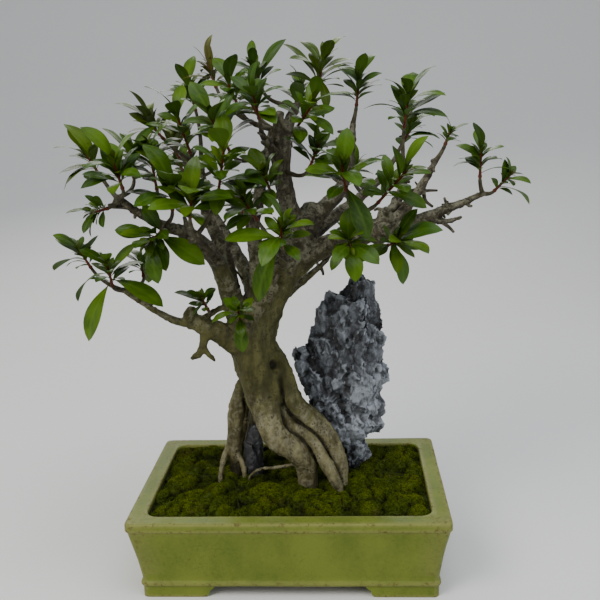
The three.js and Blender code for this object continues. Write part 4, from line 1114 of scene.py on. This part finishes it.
def shape_bark(mesh):
    """Muscle on the roots, gnarls on the limbs and a knot hole. Returns the bark's paint: age, painted
    shade in creases and forks, and lichens with a painted highlight toward the key light.
    """
    rooted = points_of(mesh) - [0, 0, POT_HEIGHT]
    radius = limb_radius(rooted)
    height = rooted[:, 2]
    upper = between(height, 150, 215)
    drawn = rooted * [1, 1, 0.4]
    swell = 0.07 * radius * noisy(rooted, 15, 3)
    sinew = (0.07 * radius + 0.2) * noisy(drawn, 5.5, 4, 20) * (1 - 0.5 * upper)
    gnarl = (0.055 * radius + 0.3) * noisy(rooted, 7.5, 3, 40) * upper
    grit = 0.16 * noisy(rooted, 1.9, 3, 60)
    away = np.linalg.norm((rooted - KNOT_HOLE) * [1, 0.7, 0.8], axis=1)
    wart = 0.5 * between(noisy(rooted, 4.2, 2, 100), 0.25, 0.6)
    knot = 1.7 * near(away, 7, 2.6) - 5.5 * near(away, 0, 3.8)
    fork = np.zeros(len(rooted))
    fork[height < 106] = root_forks(rooted[height < 106])
    fork *= 1 - between(height, 92, 106)
    push_out(mesh, swell + sinew + gnarl + grit + wart + knot - 2.6 * fork)
    hollow = hollowness(mesh, 14)
    # Painted shade: darker in hollows, in the knot hole, at the foot of the far left roots and in the
    # forks.
    stump = (rooted[:, 0] < -38) * (1 - between(height, 8, 26)) * between(radius, 3, 5)
    fork_shade = fork**3 * (0.5 + 0.5 * noisy(rooted, 9, 2, 120))
    crease_shade = between(hollow, 0.35, 1.5) + 1 - between(away, 2.4, 4.4) + 0.9 * stump + fork_shade
    drift = 22 * noisy(rooted, 45, 2, 80)
    age = 0.5 * between(height + drift, 30, 120) + 0.5 * between(height + drift, 165, 245)
    # Lichens are laid only on the sides turned to the key light, as a painted highlight.
    key_light_facing = (normals_of(mesh) * unit(np.array([-0.4, -0.5, 0.75]))).sum(axis=1)
    lichen_and_highlight = between(key_light_facing, -0.1, 0.7) * (between(height, 120, 190) + 0.6 - 0.6 * between(height, 60, 100))
    return np.column_stack([age, np.clip(crease_shade, 0, 1), lichen_and_highlight])


def spur_paths():
    """Short pruned spurs and buds scattered over the limbs of the crown."""
    samples = limb_samples()
    crown = samples[(samples[:, 2] > 165) & (samples[:, 3] < 10)]
    for x, y, z, radius in crown[RNG.choice(len(crown), SPUR_COUNT, replace=False)]:
        way = unit(RNG.normal(size=3) + [0, 0, 0.2])
        start = np.array([x, y, z]) + way * 0.6 * radius
        length = radius * 0.5 + 2 + 15 * RNG.uniform() ** 2
        bend = unit(way + 0.5 * RNG.normal(size=3))
        thick = RNG.uniform(0.9, 2.1)
        rows = [start, start + way * 0.5 * length, start + (0.5 * way + 0.5 * bend) * length]
        yield smooth_path([[*row, thick * taper] for row, taper in zip(rows, (1.3, 1, 0.75))], 3)


# Age, painted shade in creases, and lichens with a painted highlight, of the bark on the youngest wood.
TWIG_BARK = (0.85, 0.0, 0.3)
SPUR_BARK = (1.0, 0.0, 0.5)


def make_wood():
    """The skeleton under its bark, with the twigs to every shoot and the spurs."""
    skeleton = make_skeleton()
    paint = shape_bark(skeleton.data)
    wood = Sheets("bark")
    faces = [tuple(face.vertices) for face in skeleton.data.polygons]
    wood.add(points_of(skeleton.data) - [0, 0, POT_HEIGHT], faces, bark=paint)
    bpy.data.objects.remove(skeleton)
    for shoot in SHOOTS:
        wood.add(*tube(twig_path(shoot), 9, 0.05), bark=TWIG_BARK)
    for path in spur_paths():
        wood.add(*tube(path, 7, 0.1), bark=SPUR_BARK)
    stands_for(wood.build("bark_and_roots", POT_HEIGHT), "tree_wood", bark_material())


# ---------------------------------------------------------------- leafy shoots

# A leaf may stand turned, lifted or shorter, in these ways; each is tried until its tip meets the CAD
# piece's.
TRIES = [(0, 0, 1), (0.5, 0.1, 1), (-0.5, 0.1, 1), (0, 0.45, 0.9), (0.9, -0.3, 0.8), (-0.9, 0.3, 0.7)]

# Every blade's grid: how far along it each vertex is, from stalk to tip, and how far across it.
LEAF_ROWS = 13
LEAF_COLUMNS = 9
ALONG, ACROSS = np.meshgrid(
    np.linspace(0, 1, LEAF_ROWS) ** 0.92,
    np.linspace(-1, 1, LEAF_COLUMNS),
    indexing="ij",
)
BLADE_FACES = ring_faces(LEAF_ROWS, LEAF_COLUMNS, closed=False)


def leaf_chord(shoot, number, i, attempt):
    """Where leaf i of a shoot grows from, and the straight line from there to its tip."""
    turn, lift, share = attempt
    axis = shoot_axis(shoot)
    base = np.array(shoot.at) + axis * (SHOOT_LEAD + shoot.step * i)
    seed = number * 100 + i * 7
    if i < len(shoot.ends):
        chord = (np.array(shoot.at) + shoot.ends[i] - base) * share
        return base, turned(chord, axis, 0.4 * turn), seed
    grown_alone = i - len(shoot.ends)
    place = grown_alone / (shoot.leaves - 1) if shoot.leaves > 1 else 1
    first, second = cross_axes(axis)
    around = number + i * GOLDEN_ANGLE + turn
    spread_angle = 1.35 - 0.85 * place + 0.25 * (chance(seed) - 0.5) - lift
    length = LEAF_LENGTH * shoot.size * (0.8 + 0.35 * chance(seed + 1)) * share
    sideways = first * math.cos(around) + second * math.sin(around)
    chord = axis * math.cos(spread_angle) + sideways * math.sin(spread_angle)
    chord[2] -= 0.12
    return base, unit(chord) * length, seed


def half_outline(t):
    """Half the blade's width along the leaf: a thin stalk, a broad blade and a short point."""
    blade = np.clip((t - 0.07) / 0.93, 0, 1)
    swell = np.sin(math.pi * blade**1.38) ** 0.74
    return 0.5 * np.maximum(swell, 0.07 * (1 - between(t, 0.9, 1)))


def leaf_lift(length, width, seed):
    """How far each part of the blade stands off the straight line to its tip: arch, fold and wave."""
    arch = (0.07 + 0.08 * chance(seed + 3)) * length
    reach = ACROSS * half_outline(ALONG) * width
    lift = 4 * arch * ALONG * (1 - ALONG) + 0.22 * abs(reach) - 0.35 * reach**2 / width
    wave = 0.035 * width * (chance(seed + 5) - 0.2)
    lift += wave * np.sin(9 * ALONG + 6 * chance(seed + 6)) * ACROSS**2
    return lift - 0.05 * length * between(ALONG, 0.75, 1) * chance(seed + 7)


def add_leaf(sheets, base, chord, seed, axis, young):
    """A folded, arching and slightly wavy blade with an upper and an under face."""
    length = np.linalg.norm(chord)
    way = chord / length
    up = 0.35 * axis + LIGHT
    normal = unit(up - way * np.dot(up, way))
    normal = turned(normal, way, 0.6 * (chance(seed + 2) - 0.5))
    sideways = np.cross(way, normal)
    width = length * LEAF_WIDTH_SHARE * (0.8 + 0.3 * chance(seed + 4)) * (1 - 0.85 * young)
    reach = ACROSS * half_outline(ALONG) * width
    lift = leaf_lift(length, width, seed)
    grid = base + ALONG[..., None] * chord + reach[..., None] * sideways + lift[..., None] * normal
    thick = 0.16 * (1 - 0.6 * abs(ACROSS)) + 0.35 * near(ACROSS, 0, 0.16) * (1 - ALONG)
    rib = near(ACROSS, 0, 0.1) * (1 - 0.6 * ALONG)
    side_vein = np.abs(np.sin(15 * ALONG - 5.5 * abs(ACROSS))) ** 8 * (abs(ACROSS) < 0.85) * 0.35
    red = np.maximum(1 - between(ALONG, 0.05, 0.14), young * 0.55)
    luck = np.full_like(ALONG, chance(seed + 8))
    paint = np.stack([ALONG, abs(ACROSS), luck], axis=-1).reshape(-1, 3)
    for under, sign in ((0.0, 1), (1.0, -1)):
        points = grid + (sign * thick / 2)[..., None] * normal
        kind = np.stack([np.full_like(ALONG, under), red, np.maximum(rib, side_vein)], axis=-1)
        faces = BLADE_FACES if under else [face[::-1] for face in BLADE_FACES]
        sheets.add(points.reshape(-1, 3), faces, leaf=paint, leaf_kind=kind.reshape(-1, 3))


def stem_reach(shoot):
    """From the foot of a shoot to the end of its stem."""
    return SHOOT_LEAD + shoot.step * (len(shoot.ends) + shoot.leaves - 1) + 1.5


def add_stem(sheets, shoot):
    """The red young stem from a swollen collar to its pointed end bud."""
    reach = stem_reach(shoot)
    stops = [-0.2, BUD_GAP, 2.2, 0.5 * reach, reach, reach + 2.5]
    radii = [1.55, 1.7, 1.3, 1.05, SHOOT_TIP_R, 0.3]
    axis = shoot_axis(shoot)
    rows = [[*(np.array(shoot.at) + axis * stop), radius] for stop, radius in zip(stops, radii)]
    sheets.add(*tube(smooth_path(rows, 5), 10), leaf=(0.5, 0.5, 0.5), leaf_kind=(0, 0.9, 0))


def add_young_leaves(sheets, shoot, number):
    """Smaller leaves all the way up the stem to its bud, where they are smallest."""
    axis = shoot_axis(shoot)
    first, second = cross_axes(axis)
    count = 15 + number % 3
    for i in range(count):
        seed = number * 100 + 70 + i * 5
        place = i / (count - 1)
        around = number + i * GOLDEN_ANGLE
        lean = 1.3 - 0.9 * place + 0.4 * (chance(seed) - 0.5)
        sideways = first * math.cos(around) + second * math.sin(around)
        length = LEAF_LENGTH * shoot.size * (0.82 - 0.46 * place) * (0.8 + 0.4 * chance(seed + 1))
        chord = (axis * math.cos(lean) + sideways * math.sin(lean)) * length
        base = np.array(shoot.at) + axis * stem_reach(shoot) * (0.12 + 0.88 * place)
        add_leaf(sheets, base, chord, seed, axis, max(shoot.young, 0.3 * place**3))


def make_shoots():
    """Every shoot with its CAD piece's leaves, found by where their tips are, and its young ones."""
    green = leaf_material()
    for number, shoot in enumerate(SHOOTS):
        node = f"leaf_shoot_{number + 1:02d}"
        corners = points_of(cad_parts[node].data) - [0, 0, POT_HEIGHT]
        axis = shoot_axis(shoot)
        sheets = Sheets("leaf", "leaf_kind")
        add_stem(sheets, shoot)
        for i in range(len(shoot.ends) + shoot.leaves):
            for attempt in TRIES:
                base, chord, seed = leaf_chord(shoot, number, i, attempt)
                if np.linalg.norm(corners - (base + chord), axis=1).min() < 0.35:
                    add_leaf(sheets, base, chord, seed, axis, shoot.young)
                    break
        add_young_leaves(sheets, shoot, number)
        stands_for(sheets.build(f"leafy_shoot_{number + 1:02d}", POT_HEIGHT), node, green)


# ---------------------------------------------------------------- stones


def make_stone(node, name, voxel, dig, shadow):
    """A CAD stone's own shape, broken into chipped facets, ledges and a few pits, with painted shade in its
    hollows and a painted highlight on its ridges.
    """
    stone = copy_of(node, name)
    remesh(stone, voxel)
    mesh = stone.data
    tall = np.array([1, 1, 0.6])
    for size, depth, offset, softening in ((30, 9, 0.0, 2), (14, 5, 30.0, 1), (6.5, 2.2, 60.0, 0)):
        points = points_of(mesh)
        warp = 0.18 * size * np.column_stack([noisy(points, size, 2, offset + k) for k in (3, 13, 23)])
        push = depth * dig * (facets((points + warp) * tall, size, offset) - 0.04)
        move_points(mesh, spread(mesh, points + normals_of(mesh) * push[:, None], softening))
    points = points_of(mesh)
    ledge = 1 - between(abs(noisy(points * tall, 12, 3, 75)), 0.0, 0.10)
    pit = between(noisy(points, 11, 3, 90), 0.28, 0.5)
    grain = 0.2 * noisy(points, 2.6, 4, 110)
    push_out(mesh, grain - dig * (1.5 * pit + 1.3 * ledge))
    points = points_of(mesh)
    hollow = hollowness(mesh, 24)
    low = 1 - 0.93 * between(points[:, 2] - POT_HEIGHT + 22 * noisy(points, 40, 2, 7), 68, 126)
    # Painted shade in hollows, pits and ledges; a stone in shadow is painted darker all over by its shadow
    # share.
    shade = np.maximum(between(hollow, 0.35, 1.7), np.maximum(0.8 * pit, 0.7 * ledge))
    shade = shadow + (1 - shadow) * shade
    # Painted highlight: paler where the surface stands above its surroundings.
    ridge_highlight = between(-hollow, 0.5, 1.8) * (1 - shadow)
    paint_mesh(mesh, "rock", np.column_stack([shade, ridge_highlight, low * (1 - shadow)]))
    return stone


def make_stones():
    grey = rock_material()
    stands_for(make_stone("standing_rock", "craggy_stone", 1.1, 1.0, 0.0), "standing_rock", grey)
    # The wedged stone is painted almost wholly in shadow.
    stands_for(make_stone("wedge_stone", "wedged_stone", 0.8, 0.35, 0.88), "wedge_stone", grey)


# ---------------------------------------------------------------- soil and moss


def make_soil():
    soil = copy_of("soil", "soil_block")
    remesh(soil, SOIL_VOXEL)
    points = points_of(soil.data)
    crumbs = 0.5 * noisy(points, 3, 3) * between(points[:, 2], POT_HEIGHT - 12, POT_HEIGHT - 8)
    push_out(soil.data, crumbs - 0.3)
    stands_for(soil, "soil", soil_material())


def cushion_height(points):
    """Rounded moss cushions of two sizes over slow swells."""
    flat = points * [1, 1, 0]
    bent = flat + 2.5 * np.column_stack([noisy(flat, 11, 2, 21), noisy(flat, 11, 2, 43), 0 * flat[:, 0]])
    domes = []
    for size, offset in ((17, 3), (7.5, 9)):
        share = cell_distance(bent, size, offset) / 0.72
        domes.append(np.sqrt(np.clip(1 - share**2, 0, 1)))
    wall = np.minimum(HALF_X - RIM_WIDTH - abs(points[:, 0]), HALF_Y - RIM_WIDTH - abs(points[:, 1]))
    sunk = 3.2 * (1 - between(wall, 0, 9))
    return 7 * domes[0] + 3 * domes[1] + 1.4 * noisy(flat, 34, 2, 5) - 6.8 - sunk


def tufts(points, normals, shade, dome):
    """Small stars of pointed leaflets standing on the moss, and their paint: brighter ends, a painted
    highlight where the cushion is high and painted shade in the hollows.
    """
    leaflets = 5
    count = len(points) * leaflets
    lean = RNG.normal(size=(count, 3)) * 0.75 + np.repeat(normals, leaflets, axis=0)
    lean /= np.linalg.norm(lean, axis=1, keepdims=True)
    side = np.cross(lean, RNG.normal(size=(count, 3)))
    side /= np.linalg.norm(side, axis=1, keepdims=True)
    length = RNG.uniform(0.9, 1.8, (count, 1))
    foot = np.repeat(points, leaflets, axis=0) + 0.35 * RNG.normal(size=(count, 3)) * [1, 1, 0.3]
    corners = np.stack([foot - side * 0.34, foot + side * 0.34, foot + lean * length], axis=1)
    faces = np.arange(3 * count).reshape(-1, 3)
    luck = np.repeat(RNG.uniform(0, 1, len(points)), leaflets)
    lit = np.repeat(dome, leaflets)
    dark = np.repeat(shade, leaflets)
    paint = np.zeros((count, 3, 3))
    paint[:, :2, 0] = (0.12 + 0.3 * lit)[:, None]
    paint[:, 2, 0] = 0.45 + 0.55 * lit
    paint[:, :, 1] = (0.8 * dark)[:, None]
    paint[:, :, 2] = luck[:, None]
    return corners.reshape(-1, 3), faces.tolist(), paint.reshape(-1, 3)


def scattered(mesh, points, allowed, per_mm2):
    """Triangles of the mesh picked by area where every corner is allowed, and a place in each."""
    mesh.calc_loop_triangles()
    triangles = np.empty(3 * len(mesh.loop_triangles), int)
    mesh.loop_triangles.foreach_get("vertices", triangles)
    triangles = triangles.reshape(-1, 3)
    triangles = triangles[allowed[triangles].all(axis=1)]
    first, second, third = np.moveaxis(points[triangles], 1, 0)
    area = np.linalg.norm(np.cross(second - first, third - first), axis=1) / 2
    count = int(area.sum() * per_mm2)
    picked = triangles[RNG.choice(len(triangles), count, p=area / area.sum())]
    return picked, RNG.dirichlet((1, 1, 1), count)


def shape_moss(mesh):
    """Swells a CAD mat into cushions. Returns its points, where its top is and how high it stands."""
    points = points_of(mesh)
    normals = normals_of(mesh)
    top = between(normals[:, 2], 0.1, 0.6)
    height = cushion_height(points)
    side = normals * [1, 1, 0] * (0.5 * (1 - top))[:, None]
    points = points + side + np.array([0, 0, 1]) * (height * top)[:, None]
    reach = np.array([HALF_X - RIM_WIDTH - 0.3, HALF_Y - RIM_WIDTH - 0.3])
    points[:, :2] = np.clip(points[:, :2], -reach, reach)
    move_points(mesh, points)
    return points, top, between(height, -4.5, 2.2)


def make_moss_mat(node, name, per_mm2):
    """One mat of moss: its cushions and the leaflets that stand on them."""
    mat = copy_of(node, name)
    remesh(mat, MOSS_VOXEL)
    mesh = mat.data
    points, top, dome = shape_moss(mesh)
    shade = between(hollowness(mesh, 12), 0.05, 1.0)
    picked, weight = scattered(mesh, points, top > 0.5, per_mm2)
    stand = (points[picked] * weight[..., None]).sum(axis=1)
    lean = (normals_of(mesh)[picked] * weight[..., None]).sum(axis=1)
    near_shade = (shade[picked] * weight).sum(axis=1)
    near_dome = (dome[picked] * weight).sum(axis=1)
    leaf_points, leaf_faces, leaf_paint = tufts(stand, lean, near_shade, near_dome)
    cushion = Sheets("moss")
    # Paint: a painted highlight on the cushion tops, and painted shade in the hollows.
    base_paint = np.column_stack([0.1 + 0.3 * dome, shade, np.full(len(points), 0.4)])
    cushion.add(points, [tuple(face.vertices) for face in mesh.polygons], moss=base_paint)
    cushion.add(leaf_points, leaf_faces, moss=leaf_paint)
    bpy.data.objects.remove(mat)
    return cushion.build(name)


def make_moss():
    green = moss_material()
    per_mm2 = 0.75
    nodes = sorted(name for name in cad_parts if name.startswith("moss_mat"))
    for node in nodes:
        cushion = make_moss_mat(node, node.replace("mat", "cushion"), per_mm2)
        stands_for(cushion, node, green)


# ---------------------------------------------------------------- camera, light and floor


def make_camera():
    """Stands in front and a little above, turned a few degrees and not quite level."""
    place = Vector((0.051, -0.686, 0.396))
    yaw = math.radians(-3.3)
    pitch = math.radians(13.3)
    roll = math.radians(-1.8)
    ahead = Vector((math.sin(yaw) * math.cos(pitch), math.cos(yaw) * math.cos(pitch), -math.sin(pitch)))
    right = ahead.cross(Vector((0, 0, 1))).normalized()
    up = right.cross(ahead)
    tilted_right = right * math.cos(roll) + up * math.sin(roll)
    tilted_up = up * math.cos(roll) - right * math.sin(roll)
    camera = add_object("camera", bpy.data.cameras.new("camera"))
    turn = Matrix((tilted_right, tilted_up, -ahead)).transposed()
    camera.matrix_world = Matrix.LocRotScale(place, turn, None)
    camera.data.lens = 49.8
    camera.data.sensor_width = 36
    camera.data.clip_start = 0.01
    bpy.context.scene.camera = camera


def make_light():
    """Four soft boxes round the tree and a faint sky."""
    middle = Vector((0, 0, 0.2))
    for name, place, target, size, power, colour in (
        ("key", (-0.75, -0.85, 1.15), middle, (0.7, 0.7), 15, (1.0, 0.97, 0.92)),
        ("sky", (0.35, -0.35, 1.5), middle, (1.1, 0.9), 11, (0.86, 0.93, 1.0)),
        ("fill", (1.2, -0.7, 0.6), middle, (0.9, 0.9), 5, (0.95, 0.97, 1.0)),
        ("back", (-0.3, 1.3, 0.9), Vector((0, 0, 0.25)), (1.2, 0.8), 7, (1.0, 0.98, 0.94)),
    ):
        lamp = bpy.data.lights.new(name, "AREA")
        lamp.shape = "RECTANGLE"
        lamp.size, lamp.size_y = size
        lamp.energy = power
        lamp.color = colour
        box = add_object(name, lamp)
        box.location = place
        box.rotation_euler = (target - Vector(place)).to_track_quat("-Z", "Y").to_euler()
    world = bpy.data.worlds.new("studio")
    world.use_nodes = True
    background = world.node_tree.nodes["Background"]
    background.inputs["Color"].default_value = rgb(0.80, 0.84, 0.90)
    background.inputs["Strength"].default_value = 0.55
    bpy.context.scene.world = world


def make_floor():
    """A pale floor that curves up into a backdrop."""
    half = 3.5
    turn_at = 0.9
    radius = 1.6
    rise = 3.0
    profile = [(-half, 0.0), (turn_at, 0.0)]
    for angle in np.linspace(0, math.pi / 2, 13)[1:]:
        profile.append((turn_at + radius * math.sin(angle), radius * (1 - math.cos(angle))))
    profile.append((turn_at + radius, rise))
    points = [(x, y, z) for y, z in profile for x in (-half, half)]
    faces = [(2 * i, 2 * i + 1, 2 * i + 3, 2 * i + 2) for i in range(len(profile) - 1)]
    mesh = bpy.data.meshes.new("floor")
    mesh.from_pydata(points, [], faces)
    mesh.shade_smooth()
    mesh.materials.append(floor_material())
    add_object("floor", mesh)


# ---------------------------------------------------------------- everything

make_pot()
make_drainage()
make_wood()
make_shoots()
make_stones()
make_soil()
make_moss()
make_camera()
make_light()
make_floor()
